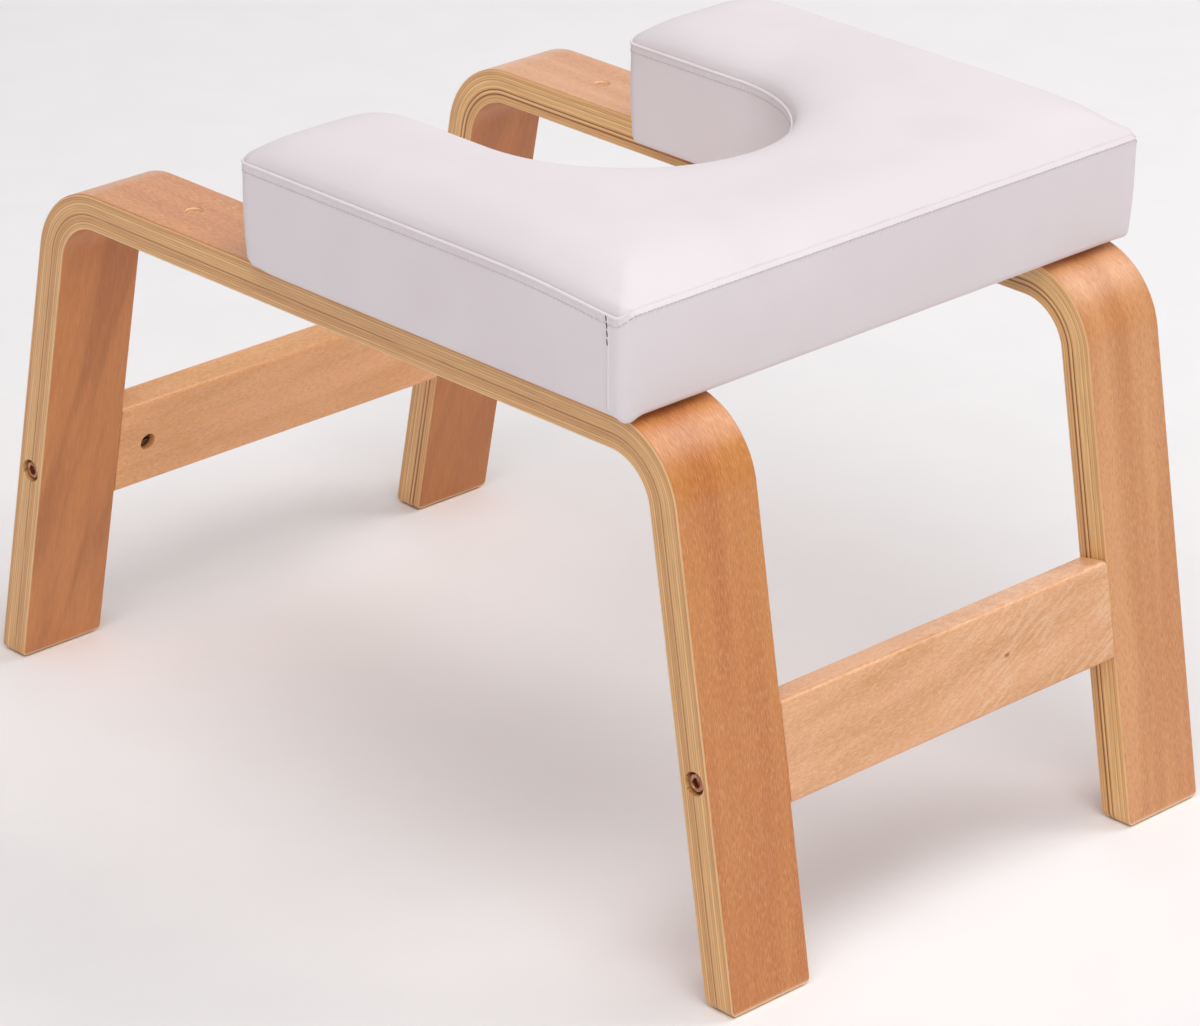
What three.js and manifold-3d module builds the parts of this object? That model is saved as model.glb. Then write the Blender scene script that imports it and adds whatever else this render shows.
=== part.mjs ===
// A headstand stool: two bentwood leg frames, two crossbars and a padded cushion with a neck opening.
// Millimetres, +Z up, with the origin on the floor under the middle. The neck opening faces -Y.
import * as THREE from "three";
import { mergeVertices } from "three/addons/utils/BufferGeometryUtils.js";
import Module from "manifold-3d";

const wasm = await Module();
wasm.setup();

// Clearances, cutters and facets
const seatGap = 0.3;
const holeClearance = 0.3;
const cutOverrun = 4;
const arcTolerance = 0.1;
const roundSegments = 24;
const dowelSegments = 16;

// Leg frames: one moulded plywood strip each, bent into an inverted U with splayed legs
const stoolWidth = 368;
const frameHeight = 308;
const footSpread = 600;
const railLength = 489;
const stripWidth = 57;
const stripThickness = 20.4;
const bendRadius = 49;
const stripEase = 1.2;
const footRadius = 4;
const footSideRadius = 5;

// Crossbars: solid beech, as thick as the legs and tilted with them
const barHeight = 56;
const barRaise = 99.4;
const barEase = 3;

// Socket head bolts and washers
const boltDiameter = 6;
const boltHoleDiameter = 6.6;
const headDiameter = 10;
const headHeight = 6;
const headChamfer = 0.6;
const socketWidth = 5;
const socketDepth = 3;
const sinkDiameter = 13;
const headRecess = 1.6;
const washerDiameter = 12;
const washerThickness = 1.2;
const barBoltLength = 80;
const cushionBoltLength = 25;

// Barrel nuts, each in a blind cross hole in the inner face of a crossbar
const barrelDiameter = 10;
const barrelLength = 12;
const barrelSetback = 22;
const barrelSlotWidth = 1.4;
const barrelSlotDepth = 1.5;
const threadClearance = 0.2;

// Wooden dowels beside each crossbar bolt
const dowelDiameter = 8;
const dowelLength = 30;
const dowelOffset = 17;
const dowelChamfer = 1;

// Plugged hole on each handle
const plugDiameter = 8.6;
const plugDepth = 7;
const plugSetback = 93.5;
const plugRecess = 0.7;
const plugDome = 0.5;

// Cushion: outer sizes of the cover
const cushionOverhang = 11;
const cushionLength = 293.5;
const cushionRear = 224.5;
const neckWidth = 184;
const neckDepth = 183;
const seamHeight = 60;
const rearCornerRadius = 13;
const armCornerRadius = 9;

// Cushion: its crown rises steeply from the seam and levels out within its reach
const crownHeight = 14.5;
const crownReach = 42;
const crownFallPower = 2.5;
const crownRisePower = 0.55;
const cornerDip = 3.3;
const dipReach = 60;

// Cushion: its walls are pulled in by the stitching under the seam, and again towards the underside
const stitchTuck = 1;
const middleTuck = 0.4;
const drawIn = 1.6;
const edgeRoll = 4.5;

// Cushion: what it is made of
const skinThickness = 1.2;
const flapWidth = 25;
const boardThickness = 12;
const clothThickness = 0.8;
const clothInset = 13;

// Cushion fixings: tee nuts let into the board's top, bolted from under the rails
const cushionBoltSetback = 46;
const teeFlangeDiameter = 19;
const teeFlangeThickness = 1.4;
const teeBarrelDiameter = 8;
const teeBarrelLength = 9;
const teeProngWidth = 2.6;
const teeProngLength = 6;
const teeProngThickness = 1.2;
const teeProngCount = 3;

// How the cushion's grid of points is spread, as shares of the spans that they divide
const edgeStationShares = [0.12, 0.5];
const armStationShares = [0.3, 1];
const turnStationShares = [0.25, 0.5, 0.75, 1];
const wallDropShares = [0.08, 0.5, 1];

// Places that follow from the sizes
const stripMiddle = (stoolWidth - stripWidth) / 2;
const innerFace = stoolWidth / 2 - stripWidth;
const cushionWidth = stoolWidth + 2 * cushionOverhang;
const splay = Math.atan2((footSpread - railLength) / 2, frameHeight);
const barMiddle = barRaise + barHeight / 2;
const bearingDepth = headRecess + headHeight;
const sinkDepth = bearingDepth + washerThickness + 2 * seatGap;
const barHoleDepth = bearingDepth + barBoltLength - stripWidth + seatGap;
const cushionFront = cushionRear - cushionLength;
const neckCentre = cushionFront + neckDepth - neckWidth / 2;
const clothBase = frameHeight + seatGap;
const cushionBase = clothBase + clothThickness + seatGap;
const boardTop = cushionBase + skinThickness + seatGap + boardThickness;

// The four legs and the four cushion fixings, as signs along X and Y
const corners = [
  { name: "front_right", right: 1, rear: -1 },
  { name: "front_left", right: -1, rear: -1 },
  { name: "rear_right", right: 1, rear: 1 },
  { name: "rear_left", right: -1, rear: 1 },
];

// Materials, coloured as in the photograph
const paint = (color, roughness, metalness = 0) =>
  new THREE.MeshStandardMaterial({ color, roughness, metalness });
const materials = {
  veneer: paint(0xd09a66, 0.45),
  beech: paint(0xddb183, 0.5),
  dowelWood: paint(0xd8b88c, 0.7),
  bronze: paint(0x9c6b4c, 0.35, 1),
  zinc: paint(0xb9bcc0, 0.35, 1),
  cover: paint(0xe6e0e2, 0.5),
  foam: paint(0xe9dfc4, 0.95),
  board: paint(0xcaa877, 0.7),
  cloth: paint(0x26262a, 0.95),
};

// Joining and cutting

function solidOf(geometry) {
  const bare = geometry.clone();
  bare.deleteAttribute("normal");
  bare.deleteAttribute("uv");
  const merged = mergeVertices(bare);
  return new wasm.Manifold(
    new wasm.Mesh({
      numProp: 3,
      vertProperties: merged.attributes.position.array,
      triVerts: new Uint32Array(merged.index.array),
    }),
  );
}

function geometryOf(solid) {
  const mesh = solid.getMesh();
  const geometry = new THREE.BufferGeometry();
  geometry.setAttribute("position", new THREE.BufferAttribute(mesh.vertProperties, 3));
  geometry.setIndex(new THREE.BufferAttribute(mesh.triVerts, 1));
  const faceted = geometry.toNonIndexed();
  faceted.computeVertexNormals();
  return faceted;
}

function cut(geometry, cutters) {
  let solid = solidOf(geometry);
  for (const cutter of cutters) {
    solid = solid.subtract(solidOf(cutter));
  }
  return geometryOf(solid);
}

function keepCommon(geometry, other) {
  return geometryOf(solidOf(geometry).intersect(solidOf(other)));
}

function makeMesh(name, geometry, material) {
  const mesh = new THREE.Mesh(geometry, material);
  mesh.name = name;
  return mesh;
}

// Outlines

// The points of an outline whose turns [x, y, radius] are rounded by true arcs.
function roundedOutline(turns) {
  const points = [];
  turns.forEach(([x, y, radius], index) => {
    const corner = new THREE.Vector2(x, y);
    const before = turns.at(index - 1);
    const after = turns[(index + 1) % turns.length];
    const back = new THREE.Vector2(before[0], before[1]).sub(corner).normalize();
    const ahead = new THREE.Vector2(after[0], after[1]).sub(corner).normalize();
    if (radius === 0) {
      points.push(corner);
      return;
    }
    const half = Math.acos(THREE.MathUtils.clamp(back.dot(ahead), -1, 1)) / 2;
    const middle = back.clone().add(ahead).normalize();
    const centre = corner.clone().addScaledVector(middle, radius / Math.sin(half));
    const start = corner.clone().addScaledVector(back, radius / Math.tan(half)).sub(centre);
    const turn = Math.sign(ahead.cross(back)) * (Math.PI - 2 * half);
    const facet = 2 * Math.acos(1 - arcTolerance / Math.max(radius, 2 * arcTolerance));
    const count = Math.max(2, Math.ceil(Math.abs(turn) / facet));
    for (let step = 0; step <= count; step += 1) {
      const spoke = start.clone().rotateAround(new THREE.Vector2(), (turn * step) / count);
      points.push(spoke.add(centre));
    }
  });
  return points;
}

function extrude(points, depth, bevel = 0, bevelSteps = 2) {
  const geometry = new THREE.ExtrudeGeometry(new THREE.Shape(points), {
    depth: depth - 2 * bevel,
    bevelEnabled: bevel > 0,
    bevelThickness: bevel,
    bevelSize: bevel,
    bevelOffset: -bevel,
    bevelSegments: bevelSteps,
  });
  return geometry.translate(0, 0, bevel);
}

// Turns an outline drawn in Y and Z, and pushed out along its third axis, so that it is pushed along X.
function alongX(geometry, start) {
  const basis = new THREE.Matrix4().makeBasis(
    new THREE.Vector3(0, 1, 0),
    new THREE.Vector3(0, 0, 1),
    new THREE.Vector3(1, 0, 0),
  );
  return geometry.applyMatrix4(basis).translate(start, 0, 0);
}

// Turned pieces, with their axis on +Z

function turned(profile, segments = roundSegments) {
  const points = profile.map(([radius, z]) => new THREE.Vector2(radius, z));
  return new THREE.LatheGeometry(points, segments).rotateX(Math.PI / 2);
}

// A plain round pin or cutter from one height to another.
function rod(diameter, from, to) {
  const radius = diameter / 2;
  return turned([
    [0, from],
    [radius, from],
    [radius, to],
    [0, to],
  ]);
}

// A cutter for the clearance hole of a pin.
function hole(pinDiameter, from, to) {
  return rod(pinDiameter + holeClearance, from, to);
}

// Turns +Z to the given direction, then moves the origin to the given place.
function aim(geometry, place, direction) {
  const turn = new THREE.Quaternion().setFromUnitVectors(new THREE.Vector3(0, 0, 1), direction);
  return geometry.applyQuaternion(turn).translate(place.x, place.y, place.z);
}

// Fasteners: the bearing face under the head lies at zero, and the shank runs to +Z through the washer

function socketBolt(length) {
  const head = headDiameter / 2;
  const shank = boltDiameter / 2;
  const body = turned([
    [0, -headHeight],
    [head - headChamfer, -headHeight],
    [head, headChamfer - headHeight],
    [head, 0],
    [shank, 0],
    [shank, length - headChamfer],
    [shank - headChamfer, length],
    [0, length],
  ]);
  const across = socketWidth / 2 / Math.cos(Math.PI / 6);
  const socket = new THREE.CylinderGeometry(across, across, socketDepth + cutOverrun, 6);
  socket.rotateX(Math.PI / 2).translate(0, 0, (socketDepth - cutOverrun) / 2 - headHeight);
  return cut(body, [socket]);
}

function washer() {
  const outer = washerDiameter / 2;
  const bore = boltHoleDiameter / 2;
  const top = seatGap + washerThickness;
  return turned([
    [bore, seatGap],
    [outer, seatGap],
    [outer, top],
    [bore, top],
    [bore, seatGap],
  ]);
}

function barrelNut() {
  const end = barrelLength / 2;
  const body = rod(barrelDiameter, -end, end);
  const thread = boltDiameter + 2 * threadClearance;
  const bore = rod(thread, -barrelDiameter, barrelDiameter).rotateY(Math.PI / 2);
  const slot = new THREE.BoxGeometry(barrelDiameter + cutOverrun, barrelSlotWidth, 2 * barrelSlotDepth);
  return cut(body, [bore, slot.translate(0, 0, end)]);
}

function dowel() {
  const radius = dowelDiameter / 2;
  const end = dowelLength / 2;
  return turned([
    [0, -end],
    [radius - dowelChamfer, -end],
    [radius, dowelChamfer - end],
    [radius, end - dowelChamfer],
    [radius - dowelChamfer, end],
    [0, end],
  ], dowelSegments);
}

function handlePlug() {
  const radius = plugDiameter / 2;
  return turned([
    [0, 0],
    [radius, 0],
    [radius, plugDepth - plugRecess - plugDome],
    [radius / 2, plugDepth - plugRecess - plugDome / 4],
    [0, plugDepth - plugRecess],
  ]);
}

// The prongs that bite into the board, each widened by the same clearance when they cut it.
function teeProngs(clearance) {
  const reach = teeFlangeDiameter / 2 - teeProngThickness;
  const thickness = teeProngThickness + 2 * clearance;
  const width = teeProngWidth + 2 * clearance;
  const top = -teeFlangeThickness / 2;
  const length = teeProngLength + clearance - top;
  return Array.from({ length: teeProngCount }, (unused, index) => {
    const prong = new THREE.BoxGeometry(thickness, width, length).translate(reach, 0, top - length / 2);
    return prong.rotateZ((index * 2 * Math.PI) / teeProngCount);
  });
}

// Its flange's outer face lies at zero and its barrel runs down.
function teeNut() {
  const flange = teeFlangeDiameter / 2;
  const barrel = teeBarrelDiameter / 2;
  const bore = boltDiameter / 2 + threadClearance;
  const body = turned([
    [bore, -teeBarrelLength],
    [barrel, -teeBarrelLength],
    [barrel, -teeFlangeThickness],
    [flange, -teeFlangeThickness],
    [flange, 0],
    [bore, 0],
    [bore, -teeBarrelLength],
  ]);
  let solid = solidOf(body);
  for (const prong of teeProngs(0)) {
    solid = solid.add(solidOf(prong));
  }
  return geometryOf(solid);
}

// Leg joints: a group stands in the middle of each leg's thickness, with its Z axis up along the leg

function jointGroup(corner) {
  const group = new THREE.Group();
  const depth = stripThickness / 2;
  const out = footSpread / 2 - barMiddle * Math.sin(splay) - depth * Math.cos(splay);
  const up = barMiddle * Math.cos(splay) - depth * Math.sin(splay);
  group.position.set(corner.right * stripMiddle, corner.rear * out, up);
  group.rotation.x = corner.rear * splay;
  group.updateMatrix();
  return group;
}

// Leg frame

function frameOutline() {
  const top = railLength / 2;
  const foot = footSpread / 2;
  const inset = stripThickness / Math.cos(splay);
  const drop = frameHeight - stripThickness;
  const innerTop = foot - inset - drop * Math.tan(splay);
  const innerRadius = bendRadius - stripThickness;
  return roundedOutline([
    [-foot, 0, footRadius],
    [inset - foot, 0, footRadius],
    [-innerTop, drop, innerRadius],
    [innerTop, drop, innerRadius],
    [foot - inset, 0, footRadius],
    [foot, 0, footRadius],
    [top, frameHeight, bendRadius],
    [-top, frameHeight, bendRadius],
  ]);
}

// A long cutter that rounds both feet of a frame at one side of the strip.
function footSideCutter(side) {
  const edge = stripWidth / 2;
  const outer = edge + cutOverrun;
  const round = roundedOutline([
    [edge, footSideRadius + cutOverrun, 0],
    [edge, 0, footSideRadius],
    [edge - footSideRadius - cutOverrun, 0, 0],
  ]);
  const points = [
    new THREE.Vector2(outer, -cutOverrun),
    new THREE.Vector2(outer, footSideRadius),
    ...round.slice(1, -1),
    new THREE.Vector2(edge - footSideRadius, -cutOverrun),
  ];
  const length = footSpread + 2 * cutOverrun;
  const cutter = extrude(points, length).translate(0, 0, -length / 2).rotateX(Math.PI / 2);
  return side > 0 ? cutter : cutter.rotateZ(Math.PI);
}

function legFrame(side) {
  const strip = alongX(extrude(frameOutline(), stripWidth, stripEase), -stripWidth / 2);
  const cutters = [footSideCutter(1), footSideCutter(-1)];
  const outerFace = (side * stripWidth) / 2;
  const inward = new THREE.Vector3(-side, 0, 0);
  for (const corner of corners.filter(({ right }) => right === side)) {
    const joint = jointGroup(corner);
    joint.position.x = 0;
    joint.updateMatrix();
    const bore = rod(boltHoleDiameter, -cutOverrun, stripWidth + cutOverrun);
    const sink = rod(sinkDiameter, -cutOverrun, sinkDepth);
    const start = new THREE.Vector3(outerFace, 0, 0);
    cutters.push(aim(bore, start, inward).applyMatrix4(joint.matrix));
    cutters.push(aim(sink, start, inward).applyMatrix4(joint.matrix));
    for (const offset of [dowelOffset, -dowelOffset]) {
      const mouth = new THREE.Vector3(-outerFace, 0, offset);
      const socket = hole(dowelDiameter, -cutOverrun, dowelLength / 2 + seatGap);
      cutters.push(aim(socket, mouth, inward.clone().negate()).applyMatrix4(joint.matrix));
    }
    const under = frameHeight - stripThickness;
    const place = new THREE.Vector3(0, cushionBoltPlace(corner), under);
    const up = new THREE.Vector3(0, 0, 1);
    cutters.push(aim(rod(boltHoleDiameter, -cutOverrun, stripThickness + cutOverrun), place, up));
    cutters.push(aim(rod(sinkDiameter, -cutOverrun, sinkDepth), place, up));
  }
  const plugHole = hole(plugDiameter, frameHeight - plugDepth - seatGap, frameHeight + cutOverrun);
  cutters.push(plugHole.translate(0, plugSetback - railLength / 2, 0));
  return cut(strip, cutters);
}

// Crossbar, drawn about its middle with its Z axis up along the legs

function crossbar(inner) {
  const length = 2 * (innerFace - seatGap);
  const across = stripThickness / 2;
  const up = barHeight / 2;
  const section = roundedOutline([
    [-across, -up, barEase],
    [across, -up, barEase],
    [across, up, barEase],
    [-across, up, barEase],
  ]);
  const cutters = [];
  for (const side of [1, -1]) {
    const inward = new THREE.Vector3(-side, 0, 0);
    const end = new THREE.Vector3(side * innerFace, 0, 0);
    cutters.push(aim(rod(boltHoleDiameter, -cutOverrun, barHoleDepth), end, inward));
    for (const offset of [dowelOffset, -dowelOffset]) {
      const mouth = new THREE.Vector3(side * innerFace, 0, offset);
      const socket = hole(dowelDiameter, -cutOverrun, dowelLength / 2 + seatGap);
      cutters.push(aim(socket, mouth, inward));
    }
    const nutHole = hole(barrelDiameter, -across - cutOverrun, barrelLength / 2 + seatGap);
    const nut = new THREE.Vector3(side * (innerFace - barrelSetback), 0, 0);
    cutters.push(aim(nutHole, nut, new THREE.Vector3(0, -inner, 0)));
  }
  return cut(alongX(extrude(section, length), -length / 2), cutters);
}

// Cushion

function cushionBoltPlace(corner) {
  return corner.rear > 0 ? cushionRear - cushionBoltSetback : cushionFront + cushionBoltSetback;
}

// The cushion's plan, drawn in by an inset, as an outline for flat pieces.
function cushionOutline(inset) {
  const side = cushionWidth / 2 - inset;
  const neck = neckWidth / 2 + inset;
  const front = cushionFront + inset;
  const rear = cushionRear - inset;
  const bottom = cushionFront + neckDepth + inset;
  const rearRound = Math.max(rearCornerRadius - inset, edgeRoll / 2);
  const armRound = Math.max(armCornerRadius - inset, edgeRoll / 2);
  return roundedOutline([
    [neck, front, armRound],
    [side, front, armRound],
    [side, rear, rearRound],
    [-side, rear, rearRound],
    [-side, front, armRound],
    [-neck, front, armRound],
    [-neck, bottom, neck],
    [neck, bottom, neck],
  ]);
}

// Moves a point of a square corner, given by its distances from both edges, into the rounded corner.
function intoCorner(fromSide, fromFront, radius) {
  const reach = new THREE.Vector2(radius - fromSide, radius - fromFront);
  if (reach.x <= 0 || reach.y <= 0) {
    return [fromSide, fromFront];
  }
  reach.setLength(Math.max(reach.x, reach.y));
  return [radius - reach.x, radius - reach.y];
}

// Where a ray from the middle of the neck opening, at an angle from +X, leaves the cushion's outline.
function leaveCushion(angle, side, deep, radius) {
  const ray = new THREE.Vector2(Math.cos(angle), Math.sin(angle));
  const centre = new THREE.Vector2(side - radius, deep - radius);
  const straight = Math.min(side / ray.x, deep / Math.max(ray.y, Number.EPSILON));
  const hit = ray.clone().multiplyScalar(straight);
  if (hit.x <= centre.x || hit.y <= centre.y) {
    return hit;
  }
  const along = ray.dot(centre);
  const aside = centre.lengthSq() - along * along;
  return ray.multiplyScalar(along + Math.sqrt(radius * radius - aside));
}

// The crown's share of its height, at a distance from an edge.
function crownShare(distance) {
  const share = Math.min(Math.max(distance / crownReach, 0), 1);
  return (1 - (1 - share) ** crownFallPower) ** crownRisePower;
}

// How far the seam dips at a plan point near a rear corner.
function seamDip(x, y) {
  const distance = Math.hypot(cushionWidth / 2 - Math.abs(x), cushionRear - y);
  return cornerDip * Math.exp(-((distance / dipReach) ** 2));
}

// The crowned top as rows of points from the neck opening to the outside: straight across the right arm,
// fanned out from the middle of the neck opening round the turn, then mirrored for the left.
function cushionTop(inset, isLining) {
  const side = cushionWidth / 2 - inset;
  const neck = neckWidth / 2 + inset;
  const front = cushionFront + inset;
  const deep = cushionRear - inset - neckCentre;
  const width = side - neck;
  const armLength = neckCentre - front;
  const armRound = armCornerRadius - inset;
  const rearRound = rearCornerRadius - inset;
  const seam = cushionBase + seamHeight - inset;
  const [firstShare, secondShare] = edgeStationShares;
  const first = isLining ? [] : [firstShare * crownReach];
  const second = secondShare * crownReach;

  const near = [0, ...first, armRound, second];
  const shares = near.map((distance) => distance / width);
  const columns = [...shares, 1 / 2, ...shares.map((share) => 1 - share).reverse()];
  const depths = [...near, ...armStationShares.map((share) => second + share * (armLength - second))];

  const point = (x, y, across, along) => {
    const crown = crownHeight * crownShare(across) * crownShare(along);
    return [x, y, seam - seamDip(x, y) + crown];
  };
  const armRow = (depth) =>
    columns.map((share) => {
      const across = Math.min(share, 1 - share) * width;
      const [aside, along] = intoCorner(across, depth, armRound);
      const x = share < 1 / 2 ? neck + aside : side - aside;
      return point(x, front + along, across, depth);
    });
  const turnRow = (angle) => {
    const inner = new THREE.Vector2(Math.cos(angle), Math.sin(angle)).multiplyScalar(neck);
    const outer = leaveCushion(angle, side, deep, rearRound);
    const length = inner.distanceTo(outer);
    return columns.map((share) => {
      const place = inner.clone().lerp(outer, share);
      const across = Math.min(share, 1 - share) * length;
      return point(place.x, place.y + neckCentre, across, armLength);
    });
  };

  const cornerStart = Math.atan2(deep - rearRound, side);
  const cornerEnd = Math.atan2(deep, side - rearRound);
  const angles = [
    ...turnStationShares.map((share) => share * cornerStart),
    (cornerStart + cornerEnd) / 2,
    ...[0, ...turnStationShares].map((share) => cornerEnd + share * (Math.PI / 2 - cornerEnd)),
  ];
  const half = [...depths.map(armRow), ...angles.map(turnRow)];
  const mirrored = half.slice(0, -1).reverse();
  return [...half, ...mirrored.map((row) => row.map(([x, y, z]) => [-x, y, z]))];
}

// The padded body: its crowned top, walls tucked in under the seam, a rolled edge and a flat underside.
// The lining is the same body with fewer points, for what lies inside the cover.
function cushionBody(inset, isLining) {
  const rows = cushionTop(inset, isLining);
  const width = rows[0].length;
  const last = rows.length - 1;
  const points = rows.flat();
  const faces = [];
  const at = (row, column) => row * width + column;
  for (let row = 0; row < last; row += 1) {
    for (let column = 0; column + 1 < width; column += 1) {
      const corner = at(row, column);
      const beside = at(row, column + 1);
      const ahead = at(row + 1, column);
      const opposite = at(row + 1, column + 1);
      faces.push([corner, beside, opposite], [corner, opposite, ahead]);
    }
  }

  // The rim, walked with the outside on its right
  const across = Array.from({ length: width - 1 }, (unused, column) => column);
  const along = Array.from({ length: last }, (unused, row) => row);
  const rim = [
    ...across.map((column) => at(0, column)),
    ...along.map((row) => at(row, width - 1)),
    ...across.map((column) => at(last, width - 1 - column)),
    ...along.map((row) => at(last - row, 0)),
  ];
  const outward = rim.map((unused, index) => {
    const before = points[rim.at(index - 1)];
    const after = points[rim[(index + 1) % rim.length]];
    return new THREE.Vector2(after[1] - before[1], before[0] - after[0]).normalize();
  });

  // The walls, as a drop from the seam to the edge roll and a tuck inwards
  const base = cushionBase + inset;
  const roll = edgeRoll - inset;
  const tucks = [stitchTuck, middleTuck, drawIn];
  const sides = wallDropShares.map((drop, index) => ({ drop, tuck: tucks[index], fall: 0 }));
  const wall = isLining ? [sides[0], sides.at(-1)] : sides;
  for (const angle of isLining ? [Math.PI / 2] : [Math.PI / 4, Math.PI / 2]) {
    wall.push({ drop: 1, tuck: drawIn + roll * (1 - Math.cos(angle)), fall: roll * Math.sin(angle) });
  }
  let above = rim;
  for (const { drop, tuck, fall } of wall) {
    const below = rim.map((corner, index) => {
      const [x, y, seam] = points[corner];
      const height = THREE.MathUtils.lerp(seam, base + roll, drop) - fall;
      points.push([x - outward[index].x * tuck, y - outward[index].y * tuck, height]);
      return points.length - 1;
    });
    above.forEach((corner, index) => {
      const next = (index + 1) % above.length;
      faces.push([corner, below[index], below[next]], [corner, below[next], above[next]]);
    });
    above = below;
  }
  const underside = above.map((corner) => new THREE.Vector2(points[corner][0], points[corner][1]));
  for (const [a, b, c] of THREE.ShapeUtils.triangulateShape(underside, [])) {
    faces.push([above[a], above[c], above[b]]);
  }

  const geometry = new THREE.BufferGeometry();
  geometry.setAttribute("position", new THREE.Float32BufferAttribute(points.flat(), 3));
  geometry.setIndex(faces.flat());
  return geometry;
}

// A flat slab under the whole cushion, up to a height.
function slabUpTo(height) {
  const depth = height - frameHeight;
  const slab = new THREE.BoxGeometry(cushionWidth + cutOverrun, cushionLength + cutOverrun, depth);
  return slab.translate(0, (cushionRear + cushionFront) / 2, height - depth / 2);
}

function cushionCover() {
  const mouthDepth = skinThickness + 2 * cutOverrun;
  const mouth = extrude(cushionOutline(flapWidth), mouthDepth).translate(0, 0, cushionBase - cutOverrun);
  return cut(cushionBody(0, false), [cushionBody(skinThickness, true), mouth]);
}

function cushionFoam() {
  return cut(cushionBody(skinThickness + seatGap, true), [slabUpTo(boardTop + seatGap)]);
}

function cushionBoard() {
  const board = keepCommon(cushionBody(skinThickness + seatGap, true), slabUpTo(boardTop));
  const cutters = [];
  for (const corner of corners) {
    const barrel = hole(teeBarrelDiameter, -boardThickness - cutOverrun, cutOverrun);
    const recess = hole(teeFlangeDiameter, -teeFlangeThickness - seatGap, cutOverrun);
    for (const cutter of [barrel, recess, ...teeProngs(holeClearance)]) {
      cutters.push(cutter.translate(corner.right * stripMiddle, cushionBoltPlace(corner), boardTop));
    }
  }
  return cut(board, cutters);
}

function dustCloth() {
  const cloth = extrude(cushionOutline(clothInset), clothThickness).translate(0, 0, clothBase);
  const holes = corners.map((corner) => {
    const hole = rod(teeBarrelDiameter, clothBase - cutOverrun, clothBase + cutOverrun);
    return hole.translate(corner.right * stripMiddle, cushionBoltPlace(corner), 0);
  });
  return cut(cloth, holes);
}

// Assembly

const stool = new THREE.Group();
stool.name = "headstand_stool";

for (const [name, side] of [["right", 1], ["left", -1]]) {
  const frame = makeMesh(`${name}_leg_frame`, legFrame(side), materials.veneer);
  frame.position.x = side * stripMiddle;
  const plug = makeMesh(`${name}_handle_plug`, handlePlug(), materials.dowelWood);
  plug.position.set(side * stripMiddle, plugSetback - railLength / 2, frameHeight - plugDepth);
  stool.add(frame, plug);
}

for (const [name, rear] of [["front", -1], ["rear", 1]]) {
  const bar = makeMesh(`${name}_crossbar`, crossbar(-rear), materials.beech);
  const joint = jointGroup({ right: 0, rear });
  joint.add(bar);
  stool.add(joint);
}

for (const corner of corners) {
  const { name, right, rear } = corner;
  const inward = new THREE.Vector3(-right, 0, 0);
  const joint = jointGroup(corner);
  joint.position.x = 0;
  const seat = right * (stoolWidth / 2 - bearingDepth);
  const bolt = aim(socketBolt(barBoltLength), new THREE.Vector3(seat, 0, 0), inward);
  const disc = aim(washer(), new THREE.Vector3(seat, 0, 0), inward);
  joint.add(makeMesh(`${name}_bar_bolt`, bolt, materials.bronze));
  joint.add(makeMesh(`${name}_bar_washer`, disc, materials.bronze));
  const nut = barrelNut().rotateX((rear * Math.PI) / 2);
  nut.translate(right * (innerFace - barrelSetback), 0, 0);
  joint.add(makeMesh(`${name}_barrel_nut`, nut, materials.zinc));
  for (const [place, offset] of [["upper", dowelOffset], ["lower", -dowelOffset]]) {
    const pin = dowel().rotateY(Math.PI / 2).translate(right * innerFace, 0, offset);
    joint.add(makeMesh(`${name}_${place}_dowel`, pin, materials.dowelWood));
  }
  stool.add(joint);

  const fixing = new THREE.Group();
  fixing.position.set(right * stripMiddle, cushionBoltPlace(corner), 0);
  const bearing = frameHeight - stripThickness + bearingDepth;
  const railBolt = socketBolt(cushionBoltLength).translate(0, 0, bearing);
  fixing.add(makeMesh(`${name}_cushion_bolt`, railBolt, materials.bronze));
  fixing.add(makeMesh(`${name}_cushion_washer`, washer().translate(0, 0, bearing), materials.bronze));
  fixing.add(makeMesh(`${name}_tee_nut`, teeNut().translate(0, 0, boardTop), materials.zinc));
  stool.add(fixing);
}

stool.add(makeMesh("cushion_cover", cushionCover(), materials.cover));
stool.add(makeMesh("cushion_foam", cushionFoam(), materials.foam));
stool.add(makeMesh("cushion_board", cushionBoard(), materials.board));
stool.add(makeMesh("dust_cloth", dustCloth(), materials.cloth));

export default stool;
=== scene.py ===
import math

import bpy
import numpy as np
from mathutils import Matrix, Vector


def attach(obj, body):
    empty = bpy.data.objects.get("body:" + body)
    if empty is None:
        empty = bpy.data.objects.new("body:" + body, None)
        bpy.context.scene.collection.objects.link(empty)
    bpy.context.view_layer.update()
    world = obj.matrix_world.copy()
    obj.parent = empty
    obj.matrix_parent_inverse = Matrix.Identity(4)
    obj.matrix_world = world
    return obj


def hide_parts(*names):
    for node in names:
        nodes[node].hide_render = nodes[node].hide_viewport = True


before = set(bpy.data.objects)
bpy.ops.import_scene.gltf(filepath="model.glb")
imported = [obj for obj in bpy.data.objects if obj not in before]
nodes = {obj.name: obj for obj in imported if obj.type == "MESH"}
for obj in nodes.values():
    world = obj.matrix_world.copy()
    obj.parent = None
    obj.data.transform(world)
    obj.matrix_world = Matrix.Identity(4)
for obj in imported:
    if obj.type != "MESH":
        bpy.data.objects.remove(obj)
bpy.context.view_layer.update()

# Headstand stool. Sizes are in millimetres and become metres when a mesh is made.
# X is across the stool, the neck opening faces -Y, and the floor is at zero.
metre = 0.001
pieces = []
scene = bpy.context.scene
sides, ends = ((1, "right"), (-1, "left")), ((-1, "front"), (1, "rear"))
print("frame: %d nodes loaded" % len(nodes))


# Meshes

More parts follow.
